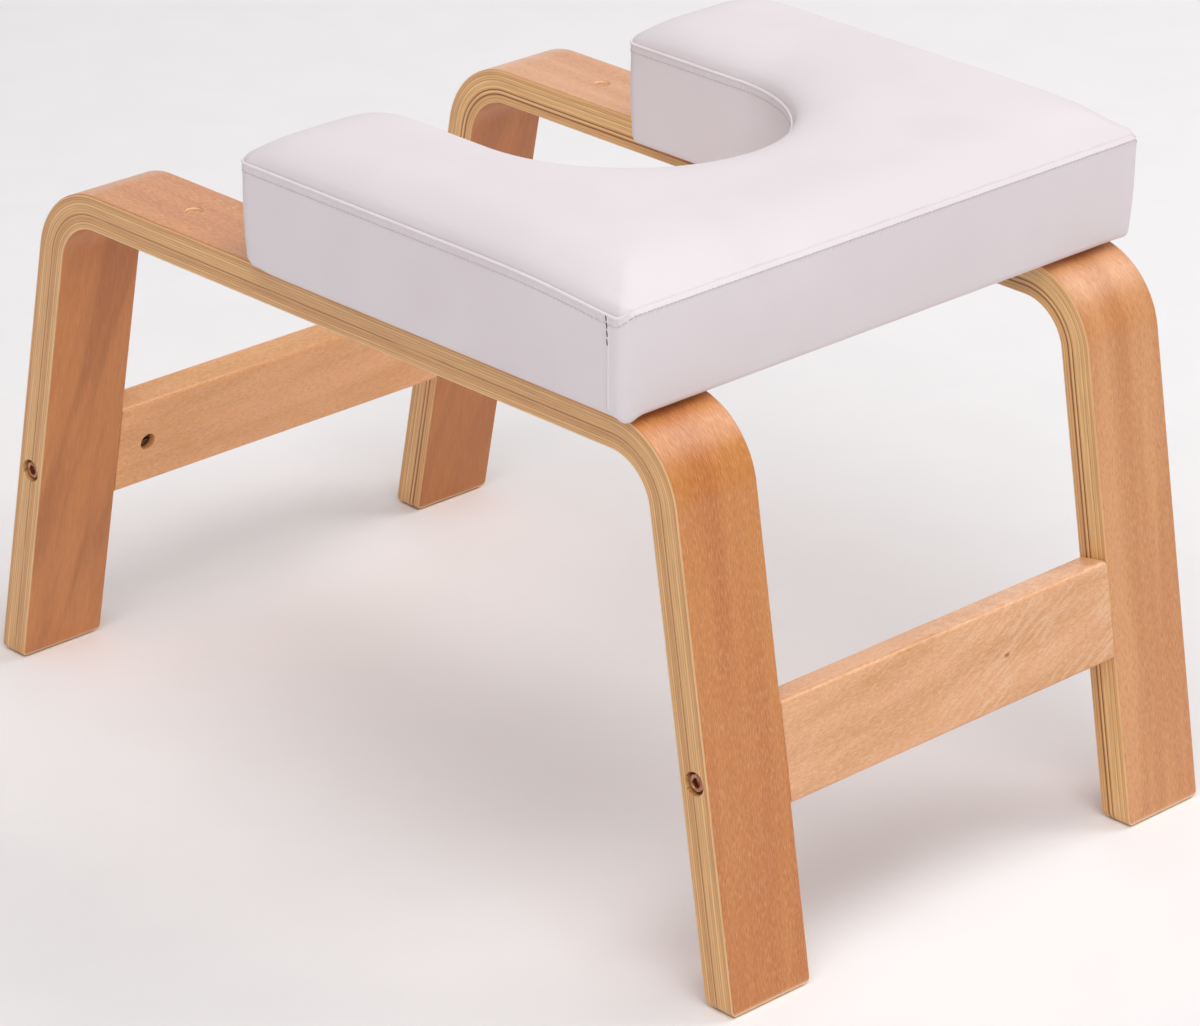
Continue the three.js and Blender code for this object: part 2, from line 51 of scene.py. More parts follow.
def addPiece(name, points, faceSets, material=None, slot=None, replaced=(), sharpAngle=32):
    # points in millimetres, and arrays of corner numbers, one array for each count of corners
    points = np.asarray(points, float) * metre
    volume = sum(
        np.einsum("ij,ij->i", points[f[:, 0]], np.cross(points[f[:, k]], points[f[:, k + 1]])).sum()
        for f in faceSets for k in range(1, f.shape[1] - 1)
    )
    if volume < 0:  # faces of a closed shape point outwards when its volume is positive
        faceSets = [f[:, ::-1] for f in faceSets]
    mesh = bpy.data.meshes.new(name)
    corners = np.concatenate([f.ravel() for f in faceSets]).astype(np.int32)
    counts = np.concatenate([np.full(len(f), f.shape[1]) for f in faceSets])
    starts = np.concatenate([[0], np.cumsum(counts)[:-1]]).astype(np.int32)
    mesh.vertices.add(len(points))
    mesh.vertices.foreach_set("co", points.astype(np.float32).ravel())
    mesh.loops.add(len(corners))
    mesh.loops.foreach_set("vertex_index", corners)
    mesh.polygons.add(len(counts))
    mesh.polygons.foreach_set("loop_start", starts)
    mesh.update(calc_edges=True)
    mesh.validate()
    obj = bpy.data.objects.new(name, mesh)
    scene.collection.objects.link(obj)
    if material:
        dress(obj, material, replaced, sharpAngle)
    return obj


def dress(obj, material, replaced=(), sharpAngle=32):
    # shading, finish, the body that it rides on and the node that it stands for
    obj.data.shade_smooth()
    obj.data.set_sharp_from_angle(angle=math.radians(sharpAngle))
    weighted = obj.modifiers.new("flat faces stay flat", "WEIGHTED_NORMAL")
    weighted.keep_sharp = True
    obj.data.materials.append(material)
    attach(obj, "root")
    if replaced:
        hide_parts(*replaced)
    pieces.append(obj.name)


def coordinates(mesh):
    # a mesh's points in millimetres
    points = np.empty(len(mesh.vertices) * 3, np.float32)
    mesh.vertices.foreach_get("co", points)
    return points.reshape(-1, 3).astype(float) / metre


def numbered(table, start=0):
    # the numbers of a table's points, row by row from the start
    return start + np.arange(table.shape[0] * table.shape[1]).reshape(table.shape[:2])


def pointsOf(*tables):
    # the points of several tables, one table after the other
    return np.concatenate([table.reshape(-1, 3) for table in tables])


def quadsOf(index):
    # one face between each pair of neighbouring rows and columns of a table of point numbers
    return np.stack([index[:-1, :-1], index[:-1, 1:], index[1:, 1:], index[1:, :-1]], -1).reshape(-1, 4)


def ringQuads(rings):
    # faces between closed loops of point numbers, each loop joined to the next one below
    index = np.concatenate([rings, np.array(rings)[:, :1]], 1)
    return np.stack([index[:-1, 1:], index[:-1, :-1], index[1:, :-1], index[1:, 1:]], -1).reshape(-1, 4)


def loft(rings):
    # rings of points, each joined to the next, and a flat face at both ends
    rings = np.asarray(rings, float)
    index = numbered(rings)
    around = quadsOf(np.concatenate([index, index[:, :1]], 1))
    return rings.reshape(-1, 3), [around, np.stack([index[0], index[-1, ::-1]])]


def joined(parts):
    # several (points, face arrays) as one
    points, faceSets, start = [], {}, 0
    for partPoints, partFaces in parts:
        points.append(partPoints)
        for faces in partFaces:
            faceSets.setdefault(faces.shape[1], []).append(faces + start)
        start += len(partPoints)
    return np.concatenate(points), [np.concatenate(faces) for faces in faceSets.values()]


def turnedRings(profile, around=48, isHex=None):
    # (radius, height) pairs carried round +Z: x = radius cos angle, y = radius sin angle. Where isHex is
    # true the radius is that of a hexagon: its half width divided by the cosine from the middle of a side.
    angle = np.arange(around) * 2 * math.pi / around
    radius, height = np.array(profile, float).T[..., None] * np.ones(around)
    if isHex is not None:
        sixth = math.pi / 3
        hexagon = radius / np.cos((angle + sixth / 2) % sixth - sixth / 2)
        radius = np.where(np.array(isHex)[:, None], hexagon, radius)
    return np.stack([radius * np.cos(angle), radius * np.sin(angle), height], -1)


def aimed(points, place, direction):
    # +Z is turned to the direction and the origin is moved to the place
    z = np.array(direction, float) / np.linalg.norm(direction)
    x = np.cross([0, 1, 0] if abs(z[1]) < 0.9 else [1, 0, 0], z)
    x /= np.linalg.norm(x)
    return points @ np.stack([x, np.cross(z, x), z]) + np.array(place, float)


def cutOut(obj, cutters):
    # takes the joined cutters out of a mesh and keeps the result as its mesh
    cutter = addPiece("cutter", *joined(cutters))
    modifier = obj.modifiers.new("holes", "BOOLEAN")
    modifier.operation, modifier.solver, modifier.object = "DIFFERENCE", "EXACT", cutter
    keepResult(obj)
    bpy.data.objects.remove(cutter)


def keepResult(obj):
    # the modifiers' result becomes the mesh, and they are taken off
    graph = bpy.context.evaluated_depsgraph_get()
    result = bpy.data.meshes.new_from_object(obj.evaluated_get(graph))
    obj.modifiers.clear()
    obj.data = result


# Materials

def linear(hexText):
    # sRGB to linear light: divided by 12.92 near black, else to the power 2.4
    parts = [int(hexText[i:i + 2], 16) / 255 for i in (0, 2, 4)]
    return [p / 12.92 if p <= 0.04045 else ((p + 0.055) / 1.055) ** 2.4 for p in parts] + [1.0]


def addNode(tree, kind, inputs=None, **settings):
    # inputs by socket number or name: a value, a hex colour, a socket, or a node for its first output in use
    node = tree.nodes.new("ShaderNode" + kind)
    for name, value in settings.items():
        setattr(node, name, value)
    for socket, value in (inputs or {}).items():
        if isinstance(value, bpy.types.Node):
            value = next(output for output in value.outputs if output.enabled)
        if isinstance(value, bpy.types.NodeSocket):
            tree.links.new(value, node.inputs[socket])
        else:
            node.inputs[socket].default_value = linear(value) if isinstance(value, str) else value
    return node


def calculated(tree, operation, *values):
    # a Math node
    return addNode(tree, "Math", dict(enumerate(values)), operation=operation)


def eased(tree, value, limits, results=(0.0, 1.0)):
    # a smooth step from one result to the other, while the value goes from one limit to the other
    inputs = {0: value, 1: limits[0], 2: limits[1], 3: results[0], 4: results[1]}
    return addNode(tree, "MapRange", inputs, interpolation_type="SMOOTHSTEP")


def mixed(tree, share, first, second):
    # the first colour where the share is 0, the second where it is 1
    return addNode(tree, "Mix", {0: share, 6: first, 7: second}, data_type="RGBA")


def blank(name):
    # a material with an empty node tree
    material = bpy.data.materials.new(name)
    material.use_nodes = True
    material.node_tree.nodes.clear()
    return material, material.node_tree


def inMillimetres(tree):
    # the place on the piece, in millimetres
    place = addNode(tree, "TexCoord").outputs["Object"]
    return addNode(tree, "Mapping", {"Vector": place, "Scale": (1 / metre,) * 3})


def grain(tree, place, size, shift=(0, 0, 0), turn=(0, 0, 0), **settings):
    # noise with features of a size in millimetres, moved by the shift and turned
    inputs = {"Vector": place, "Location": shift, "Rotation": turn, "Scale": size}
    mapping = addNode(tree, "Mapping", inputs, vector_type="TEXTURE")
    return addNode(tree, "TexNoise", {"Vector": mapping, "Scale": 1.0, **settings})


def tinted(tree, colour, value, limits, hue, most=1.0):
    # the hue mixed into the colour: none of it where the value is at the first limit, most at the second
    return mixed(tree, eased(tree, value, limits, (0.0, most)), colour, hue)


def closeMaterial(tree, colour, roughness, height=None, bump=(0.1, 0.1), **constants):
    # the shader with its constant settings, a bump of some strength and depth in millimetres, and the output
    inputs = {"Base Color": colour, "Roughness": roughness}
    if height is not None:
        relief = {"Strength": bump[0], "Distance": bump[1] * metre, "Height": height}
        inputs["Normal"] = addNode(tree, "Bump", relief)
    for name, value in constants.items():
        inputs[name.replace("_", " ")] = value
    shader = addNode(tree, "BsdfPrincipled", inputs)
    addNode(tree, "OutputMaterial", {"Surface": shader})


# Flecks and lacquer of both woods. The pairs of fleck values are for the dark dashes and the light ones.
woodLook = {
    "fleckScales": (1.0, 1.25), "fleckRoughness": (0.6, 0.62), "fleckShift": 57, "fleckLimits": (0.46, 0.68),
    "glossLimits": (0.3, 0.75),
}


def flecked(tree, place, colour, look, kind, shift, turn=(0, 0, 0)):
    # short dark and then light dashes along the grain; gives the colour, the height and the light dashes
    dashes = []
    size, strength = look[kind]
    hues = look["fleck"], look["shine"]
    for scale, rough, hue, most in zip(look["fleckScales"], look["fleckRoughness"], hues, strength):
        spot = [value + look["fleckShift"] * scale for value in shift]
        dash = grain(tree, place, [value * scale for value in size], spot, turn, Detail=3.0, Roughness=rough)
        colour = tinted(tree, colour, dash, look["fleckLimits"], hue, most)
        dashes.append(dash)
    height = calculated(tree, "SUBTRACT", dashes[1], dashes[0])
    return colour, height, dashes[1]


def lacquered(tree, look, colour, height, shine):
    # closes a wood under its clear lacquer, glossier on the light dashes
    rough = eased(tree, shine, look["glossLimits"], look["roughness"])
    closeMaterial(tree, colour, rough, height, look["bump"],
                  Coat_Weight=look["coat"], Coat_Roughness=look["coatRoughness"])


plyLook = {
    "right": {
        "face": ("C87633", "D58840"), "inner": ("BC7338", "D48848"), "edge": ("E2A464", "F8CA89"),
        "darkLines": ((11.6, 0.3, 0.75), (13.3, 0.14, 0.5), (4.4, 0.12, 0.4)), "seed": 3.0,
    },
    "left": {
        "face": ("D28A50", "E3A068"), "inner": ("BC702E", "C87A34"), "edge": ("E8AC69", "FDD391"),
        "darkLines": ((12.2, 0.3, 1.0), (14.9, 0.34, 1.0), (6.1, 0.16, 0.5)), "seed": 11.0,
    },
    # border: paler edge near the faces, partly the outer veneer's own line, partly a painted highlight on the
    # eased corners
    "glue": "8E4A00", "bare": "FAD3A2", "fleck": "97552A", "shine": "F3BC86", "border": "F2CFA4",
    "veneer": 1.57,  # thickness of one veneer with its glue
    # features in millimetres along the strip, across it and into it
    "waver": (170, 100, 20), "breaks": (33, 20, 5), "fibres": (30, 5, 0.38),
    "bands": (260, 17, 20), "bandTurn": 0.04, "streaks": (150, 19, 20), "streakTurn": -0.2,
    "faceFlecks": ((3.4, 0.5, 2.5), (0.36, 0.34)), "innerFlecks": ((9, 0.9, 2.5), (0.16, 0.1)),
    "lineEnds": (0.2, 0.06),  # in veneers, where a glue line has faded out and where it is full
    "lineStrength": (0.45, 0.05),  # the part that varies and the least
    "waverShift": (90, 1, 0), "faceShift": (310, 17, 0), "lineShift": 1.7,  # times the seed
    "darkLineFade": 0.14, "breakLimits": (0.25, 0.45), "breakShare": 0.6,
    "fibreLimits": (0.4, 0.72), "fibreShare": 0.45, "borderShare": 0.35,
    "bandLimits": (0.34, 0.66), "streakLimits": (0.32, 0.66),
    "waverDepth": 0.7, "innerStarts": (9.0, 11.0), "edgeStarts": (0.08, 0.7), "borderEnds": (1.5, 1.2),
    # bare: the pale drilled walls near a face, partly bare wood and partly a painted highlight of their lit
    # rims
    "bareAcross": (27.0, 26.0), "bareDepth": (3.0, 2.0),
    "roughness": (0.46, 0.34), "bump": (0.3, 0.12), "coat": 0.4, "coatRoughness": 0.3,
}


def pressedBeechPly(side):
    # Beech veneers glued in a curved press, edges sanded, satin lacquer: the eye sees warm flecked
    # faces with soft bands, and pale edges with fine brown glue lines that follow the bends.
    # It reads the piece's own attribute: distance along the strip, across it and into it.
    look = {**woodLook, **plyLook, **plyLook[side]}
    seed = look["seed"]
    material, tree = blank("pressed beech plywood, %s" % side)
    place = addNode(tree, "Attribute", attribute_name="stripPlace").outputs["Vector"]
    across, depth = addNode(tree, "SeparateXYZ", {0: place}).outputs[1:]
    fromInner = calculated(tree, "SUBTRACT", frameSizes["stripThickness"], depth)
    fromFace = calculated(tree, "MINIMUM", depth, fromInner)

    # edge: veneers of changing tone, glue lines of changing strength, long fibres
    waver = grain(tree, place, look["waver"], [seed * step for step in look["waverShift"]], Detail=1.0)
    waver = calculated(tree, "ADD", waver, -0.5)
    level = calculated(tree, "MULTIPLY_ADD", waver, look["waverDepth"], depth)
    layer = calculated(tree, "MULTIPLY", level, 1 / look["veneer"])
    number = calculated(tree, "FLOOR", calculated(tree, "ADD", layer, seed))
    tone = addNode(tree, "TexWhiteNoise", {"W": number}, noise_dimensions="1D")
    nearest = calculated(tree, "ROUND", layer)
    line = calculated(tree, "ABSOLUTE", calculated(tree, "SUBTRACT", layer, nearest))
    line = eased(tree, line, look["lineEnds"])
    lineSeed = calculated(tree, "ADD", nearest, seed * look["lineShift"])
    strength = addNode(tree, "TexWhiteNoise", {"W": lineSeed}, noise_dimensions="1D")
    strength = calculated(tree, "MULTIPLY_ADD", strength, *look["lineStrength"])
    line = calculated(tree, "MULTIPLY", line, strength)
    breaks = grain(tree, place, look["breaks"], (0, 0, seed))
    for middle, half, most in look["darkLines"]:
        gap = calculated(tree, "ABSOLUTE", calculated(tree, "SUBTRACT", level, middle))
        strong = eased(tree, gap, (half + look["darkLineFade"], half))
        share = eased(tree, breaks, look["breakLimits"], (most * look["breakShare"], most))
        line = calculated(tree, "MAXIMUM", line, calculated(tree, "MULTIPLY", strong, share))
    fibres = grain(tree, place, look["fibres"], Detail=4.0, Roughness=0.65)
    edge = mixed(tree, tone, *look["edge"])
    edge = tinted(tree, edge, fibres, look["fibreLimits"], look["fleck"], look["fibreShare"])
    edge = mixed(tree, line, edge, look["glue"])
    # paler near the faces: partly the outer veneers' own line, partly a painted highlight on the eased
    # corners
    edge = tinted(tree, edge, fromFace, look["borderEnds"], look["border"], look["borderShare"])

    # faces: broad soft bands along the strip, slanting streaks inside the frame, the short flecks of beech
    shift = [seed * step for step in look["faceShift"]]
    bands = grain(tree, place, look["bands"], shift, (0, 0, look["bandTurn"]), Detail=3.0, Roughness=0.45)
    outerFace = tinted(tree, look["face"][0], bands, look["bandLimits"], look["face"][1])
    outerFace, height, shine = flecked(tree, place, outerFace, look, "faceFlecks", shift)
    turn = (0, 0, look["streakTurn"])
    streaks = grain(tree, place, look["streaks"], shift, turn, Detail=3.0, Roughness=0.5, Distortion=0.7)
    innerFace = tinted(tree, look["inner"][0], streaks, look["streakLimits"], look["inner"][1])
    innerFace = flecked(tree, place, innerFace, look, "innerFlecks", shift)[0]
    face = tinted(tree, outerFace, depth, look["innerStarts"], innerFace)

    # drilled walls just below a face are coloured pale: partly bare wood, partly a painted highlight of their
    # lit rims
    bare = 1.0
    fromMiddle = calculated(tree, "ABSOLUTE", across)
    for value, limits in ((fromMiddle, look["bareAcross"]), (fromFace, look["bareDepth"])):
        bare = calculated(tree, "MULTIPLY", bare, eased(tree, value, limits))
    edge = mixed(tree, bare, edge, look["bare"])
    colour = tinted(tree, face, fromFace, look["edgeStarts"], edge)
    lacquered(tree, look, colour, height, shine)
    return material


barLook = {
    "front": {"light": "FCBB81", "deep": "EEAB6D", "slope": 0.05, "figure": 0.1, "seed": 5.0},
    "rear": {"light": "EEB180", "deep": "E0A16C", "slope": 0.1, "figure": 0.42, "seed": 23.0},
    "fleck": "B27244", "shine": "FBD3AC", "figureWidth": 2.7, "figureLean": 0.35,
    "bands": (120, 20, 15), "patches": (45, 60, 30), "flecks": ((3.0, 0.75, 0.6), (0.34, 0.36)),
    "figureStretch": (9, 4, 1), "figureLimits": (0.45, 0.6), "figureFrom": (30.0, -40.0), "figureLeast": 0.1,
    "bandLimits": (0.35, 0.65), "patchLimits": (0.35, 0.55), "patchLeast": 0.35,
    "shift": (130, 10, 7),  # times the seed
    "knot": "A8501E", "knotPlace": (-42.0, 0, 74.7), "knotSize": (3.0, 999, 1.5),
    "knotLimits": (1.0, 0.4), "knotShare": 0.85,
    "roughness": (0.5, 0.38), "bump": (0.3, 0.1), "coat": 0.3, "coatRoughness": 0.32,
}


def planedBeech(end, lean):
    # Solid beech, planed, edges rounded with a router, satin lacquer: an even pinkish tan
    # with many short ray flecks, faint growth bands, and a figure of paler stripes that run off at a slope.
    look = {**woodLook, **barLook, **barLook[end]}
    material, tree = blank("planed solid beech, %s" % end)
    level = addNode(tree, "Mapping", {"Vector": inMillimetres(tree), "Rotation": (lean, 0, 0)})
    turn, shift = (0, look["slope"], 0), [look["seed"] * step for step in look["shift"]]
    bands = grain(tree, level, look["bands"], shift, turn, Detail=3.0)
    colour = tinted(tree, look["deep"], bands, look["bandLimits"], look["light"])

    # the figure: thin pale stripes, strongest towards the left end of the bar and in patches
    figureTurn = (0, look["slope"] + look["figureLean"], 0)
    figureSize = [look["figureWidth"] * stretch for stretch in look["figureStretch"]]
    stripes = grain(tree, level, figureSize, shift, figureTurn, Detail=1.5, Roughness=0.4, Distortion=0.5)
    patches = grain(tree, level, look["patches"], shift, Detail=1.0)
    patches = eased(tree, patches, look["patchLimits"], (look["patchLeast"], 1.0))
    along = addNode(tree, "SeparateXYZ", {0: level}).outputs["X"]
    reach = eased(tree, along, look["figureFrom"], (look["figureLeast"], look["figure"]))
    stripes = eased(tree, stripes, look["figureLimits"])
    for limit in (patches, reach):
        stripes = calculated(tree, "MULTIPLY", stripes, limit)
    colour = mixed(tree, stripes, colour, look["shine"])
    colour, height, shine = flecked(tree, level, colour, look, "flecks", shift, turn)
    if end == "rear":  # one pin knot
        inputs = {"Vector": level, "Location": look["knotPlace"], "Rotation": turn, "Scale": look["knotSize"]}
        knot = addNode(tree, "Mapping", inputs, vector_type="TEXTURE")
        knot = addNode(tree, "VectorMath", {0: knot}, operation="LENGTH").outputs["Value"]
        colour = tinted(tree, colour, knot, look["knotLimits"], look["knot"], look["knotShare"])
    lacquered(tree, look, colour, height, shine)
    return material


# Materials with one noise for colour and gloss, and one for the bump where a relief is given. The zinc's
# gloss follows its relief. Figure and relief are the sizes of the noises' features in millimetres.
plainLooks = {
    # Turned beech left bare: pale, matt and fibrous, with no lacquer to deepen it.
    "turned beech, bare": {
        "figure": (2, 0.4, 0.4), "detail": 3.0, "fineness": 0.6, "colours": ("E2C49A", "C99F6E"),
        "limits": (0.35, 0.7), "roughness": (0.6, 0.75), "bump": (0.3, 0.15),
    },
    # A beech plug turned flat-grained and lacquered with the rail: the rail's own colour, a shade lighter.
    "lacquered beech plug": {
        "figure": (0.6, 4, 2), "detail": 3.0, "fineness": 0.55, "colours": ("DDA574", "C4885A"),
        "limits": (0.35, 0.7), "roughness": (0.4, 0.52), "bump": (0.2, 0.1),
    },
    # Cold headed steel with a bronze coloured plating, tumbled: a warm satin metal, worn paler in spots.
    "bronze plated steel": {
        "figure": (2.8, 2.8, 2.8), "detail": 4.0, "fineness": 0.6, "colours": ("A97457", "DDAA8C"),
        "limits": (0.4, 0.72), "roughness": (0.34, 0.48), "bump": (0.15, 0.03),
        "relief": (1 / 3, 1 / 3, 1 / 3), "metal": 1.0,
    },
    # Turned steel, zinc plated: brownish grey with faint tool rings, a soft metal gloss. The grey is
    # darker than bright zinc: partly a chromate's tone, partly painted shade of the nuts' deep holes.
    "zinc plated steel": {
        "figure": (3.3, 3.3, 3.3), "detail": 4.0, "fineness": 0.5, "colours": ("6F5F4E", "94846F"),
        "limits": (0.35, 0.7), "roughness": (0.28, 0.42), "bump": (0.15, 0.03),
        "relief": (0.5, 0.5, 0.11), "glossByRelief": True, "metal": 1.0,
    },
    # Flat plywood, sanded and left bare: pale matt faces with long grain, and layered edges.
    "sanded plywood": {
        "figure": (50, 2, 2), "detail": 4.0, "fineness": 0.6, "colours": ("DDC08E", "C39E68"),
        "limits": (0.35, 0.7), "roughness": (0.65, 0.8), "bump": (0.3, 0.15),
        "layers": "8A6238", "layerLimits": (0.85, 1.0), "layerShare": 0.5,
    },
}
plainGlossLimits = (0.3, 0.7)  # where a noise begins and ends to change the gloss, the leather's too


def plainMaterial(name):
    # colour by the figure's noise, bump by the relief's, gloss by one of them
    look = plainLooks[name]
    material, tree = blank(name)
    place = inMillimetres(tree)
    figure = grain(tree, place, look["figure"], Detail=look["detail"], Roughness=look["fineness"])
    relief = grain(tree, place, look["relief"]) if "relief" in look else figure
    first, second = look["colours"]
    colour = tinted(tree, first, figure, look["limits"], second)
    if "layers" in look:
        wave = {"Vector": place, "Scale": 0.11, "Distortion": 0.2, "Detail": 1.0}
        layers = addNode(tree, "TexWave", wave, bands_direction="Z").outputs["Fac"]
        colour = tinted(tree, colour, layers, look["layerLimits"], look["layers"], look["layerShare"])
    rough = eased(tree, relief if look.get("glossByRelief") else figure, plainGlossLimits, look["roughness"])
    closeMaterial(tree, colour, rough, relief, look["bump"], Metallic=look.get("metal", 0.0))
    return material


leatherLook = {
    "light": "ECE4E7", "deep": "E9E0E3", "pebble": 0.9, "roughness": (0.56, 0.68), "bump": (0.12, 0.08),
    # the welt's colour is a painted highlight along the sides
    "cloudLimits": (0.35, 0.65), "welt": "FFF6F9", "weltGloss": 0.2,
}
strandLook = {"roughness": 0.6, "bump": (0.3, 0.1)}
foamLook = {"light": "EFE6C8", "deep": "C9BC94", "limits": (0.1, 0.6), "roughness": 0.95, "bump": (0.6, 0.4)}
clothLook = {
    "black": "26262A", "fibre": "3E3E44", "fibreLimits": (0.35, 0.7),
    "dot": "17171A", "dotLimits": (0.22, 0.12), "dotShare": 0.6, "roughness": 0.92, "bump": (0.5, 0.3),
}


def syntheticLeather():
    # Knitted backing coated with soft vinyl and embossed with a fine pebble grain: a cool white
    # with a rosy cast, a broad satin sheen, a grain just below what the eye can part, and a welt glossier
    # along the sides and coloured paler there, a painted highlight. Its own attribute tells the welt.
    look = leatherLook
    material, tree = blank("white synthetic leather")
    place = inMillimetres(tree)
    cells = addNode(tree, "TexVoronoi", {"Vector": place, "Scale": look["pebble"]}, feature="SMOOTH_F1")
    creases = addNode(tree, "TexNoise", {"Vector": place, "Scale": 0.5, "Detail": 4.0, "Roughness": 0.6})
    clouds = addNode(tree, "TexNoise", {"Vector": place, "Scale": 0.012})
    colour = tinted(tree, look["deep"], clouds, look["cloudLimits"], look["light"])
    welt = addNode(tree, "Attribute", attribute_name="welt").outputs["Fac"]
    # painted highlight: the welt is coloured paler than the leather around it
    colour = mixed(tree, welt, colour, look["welt"])
    height = calculated(tree, "ADD", cells, creases)
    rough = eased(tree, creases, plainGlossLimits, look["roughness"])
    rough = calculated(tree, "MULTIPLY_ADD", welt, -look["weltGloss"], rough)
    closeMaterial(tree, colour, rough, height, look["bump"])
    return material


def twistedStrands(name, first, second):
    # Bonded polyester thread, three strands twisted: small soft highlights on slanting ridges. The same look
    # in near black is the painted shade at the rear corner seams.
    material, tree = blank(name)
    inputs = {"Vector": inMillimetres(tree), "Scale": 0.9, "Distortion": 1.5}
    strands = addNode(tree, "TexWave", inputs, bands_direction="DIAGONAL").outputs["Fac"]
    colour = mixed(tree, strands, first, second)
    closeMaterial(tree, colour, strandLook["roughness"], strands, strandLook["bump"])
    return material


def cutFoam():
    # Polyurethane foam cut with a saw: cream coloured open cells, fully matt.
    look = foamLook
    material, tree = blank("cut upholstery foam")
    cells = addNode(tree, "TexVoronoi", {"Vector": inMillimetres(tree), "Scale": 1.4})
    colour = tinted(tree, look["deep"], cells, look["limits"], look["light"])
    closeMaterial(tree, colour, look["roughness"], cells, look["bump"])
    return material


def nonWovenCloth():
    # Spunbonded polypropylene felt with pressed dots 2.5 mm apart: near black, matt, faintly dimpled.
    look = clothLook
    material, tree = blank("black non-woven cloth")
    place = inMillimetres(tree)
    dots = addNode(tree, "TexVoronoi", {"Vector": place, "Scale": 0.4, "Randomness": 0.12})
    fibres = addNode(tree, "TexNoise", {"Vector": place, "Scale": 1.2, "Detail": 4.0, "Roughness": 0.7})
    colour = tinted(tree, look["black"], fibres, look["fibreLimits"], look["fibre"])
    colour = tinted(tree, colour, dots, look["dotLimits"], look["dot"], look["dotShare"])
    closeMaterial(tree, colour, look["roughness"], dots, look["bump"])
    return material


# Leg frames: a rounded strip section carried along rail, bend and leg, mirrored front to rear

frameSizes = {
    "stoolWidth": 368, "height": 308, "footSpread": 600, "railLength": 489,
    "stripWidth": 57, "stripThickness": 20.4, "bendRadius": 49, "ease": 1.2,
    "footRound": 4, "footSideRound": 5, "footReach": 299.15,
    "bendSteps": 30, "railSteps": 14, "legSteps": 12, "footSteps": 6, "easeSteps": 4,
    "barRaise": 99.4, "barHeight": 56,
}
holeSizes = {
    "sink": 13, "sinkDepth": 9.4, "bore": 6.6, "rim": 0.4, "boltSetback": 46,
    "dowel": 8.3, "dowelDepth": 15.3, "dowelOffset": 17,
    "plug": 8.9, "plugRim": 0.75, "plugDepth": 7.3, "plugSetback": 93.5,
    "rimSides": 64, "boreSides": 48, "dowelSides": 40,
    "past": 5.0, "over": 0.1,  # how far cutters start outside the wood, and how far a bevel's cutter does
}
strip = dict(frameSizes)
strip["splay"] = math.atan2((strip["footSpread"] - strip["railLength"]) / 2, strip["height"])
strip["sin"], strip["cos"] = math.sin(strip["splay"]), math.cos(strip["splay"])
strip["half"] = strip["stripThickness"] / 2
strip["bendZ"] = strip["height"] - strip["bendRadius"]
strip["legRun"] = strip["bendRadius"] + strip["bendZ"] * strip["sin"]
strip["bendY"] = strip["footSpread"] / 2 - strip["legRun"] / strip["cos"]
strip["middleRadius"] = strip["bendRadius"] - strip["half"]
strip["bendLength"] = (math.pi / 2 - strip["splay"]) * strip["middleRadius"]
strip["sideX"] = (strip["stoolWidth"] - strip["stripWidth"]) / 2
strip["innerX"] = strip["stoolWidth"] / 2 - strip["stripWidth"]
strip["barMiddle"] = strip["barRaise"] + strip["barHeight"] / 2
strip["jointY"] = strip["footSpread"] / 2 - strip["barMiddle"] * strip["sin"] - strip["half"] * strip["cos"]
strip["jointZ"] = strip["barMiddle"] * strip["cos"] - strip["half"] * strip["sin"]
strip["plugY"] = holeSizes["plugSetback"] - strip["railLength"] / 2


def roundedSection(width, height, ease, steps):
    # points round a rectangle whose corners are quarter circles
    turn = np.arange(steps + 1) * math.pi / 2 / steps
    corners = []
    for quarter in range(4):
        angle = turn + quarter * math.pi / 2
        signX, signY = np.sign(math.cos(angle.mean())), np.sign(math.sin(angle.mean()))
        corners.append(np.stack([signX * (width / 2 - ease) + ease * np.cos(angle),
                                 signY * (height / 2 - ease) + ease * np.sin(angle)], -1))
    return np.concatenate(corners)


def halfStrip(across, depth):
    # rings from the middle of the rail to the floor. Rail: straight. Bend: y and z = bend centre plus
    # (bend radius - depth) times cosine and sine. Leg: straight lines that end on the level of the foot.
    # Foot: the section shrinks on quarter circles as it reaches the floor.
    s = strip
    rail = np.linspace(0, s["bendY"], s["railSteps"] + 1)[:-1, None]
    rings = [(across, rail, s["height"] - depth)]
    angle = np.linspace(math.pi / 2, s["splay"], s["bendSteps"] + 1)[:, None]
    radius = s["bendRadius"] - depth
    rings.append((across, s["bendY"] + radius * np.cos(angle), s["bendZ"] + radius * np.sin(angle)))
    startY, startZ = s["bendY"] + radius * s["cos"], s["bendZ"] + radius * s["sin"]
    run = (startZ - s["footSideRound"]) / s["cos"] * np.linspace(0, 1, s["legSteps"] + 1)[1:, None]
    rings.append((across, startY + run * s["sin"], startZ - run * s["cos"]))
    turn = np.linspace(0, math.pi / 2, s["footSteps"] + 1)[1:, None]
    level = s["footSideRound"] * (1 - np.sin(turn))
    sideIn = s["footSideRound"] * (1 - np.cos(turn))
    near = np.clip(s["footRound"] - level, 0, None)
    faceIn = s["footRound"] - np.sqrt(s["footRound"] ** 2 - near ** 2)
    drawnAcross = across * (1 - sideIn / (s["stripWidth"] / 2))
    drawnDepth = s["half"] + (depth - s["half"]) * (1 - faceIn / s["half"])
    y = np.minimum(s["footSpread"] / 2 - level * s["sin"] / s["cos"] - drawnDepth / s["cos"], s["footReach"])
    rings.append((drawnAcross, y, level))
    return np.concatenate([np.stack(np.broadcast_arrays(*ring), -1) for ring in rings])


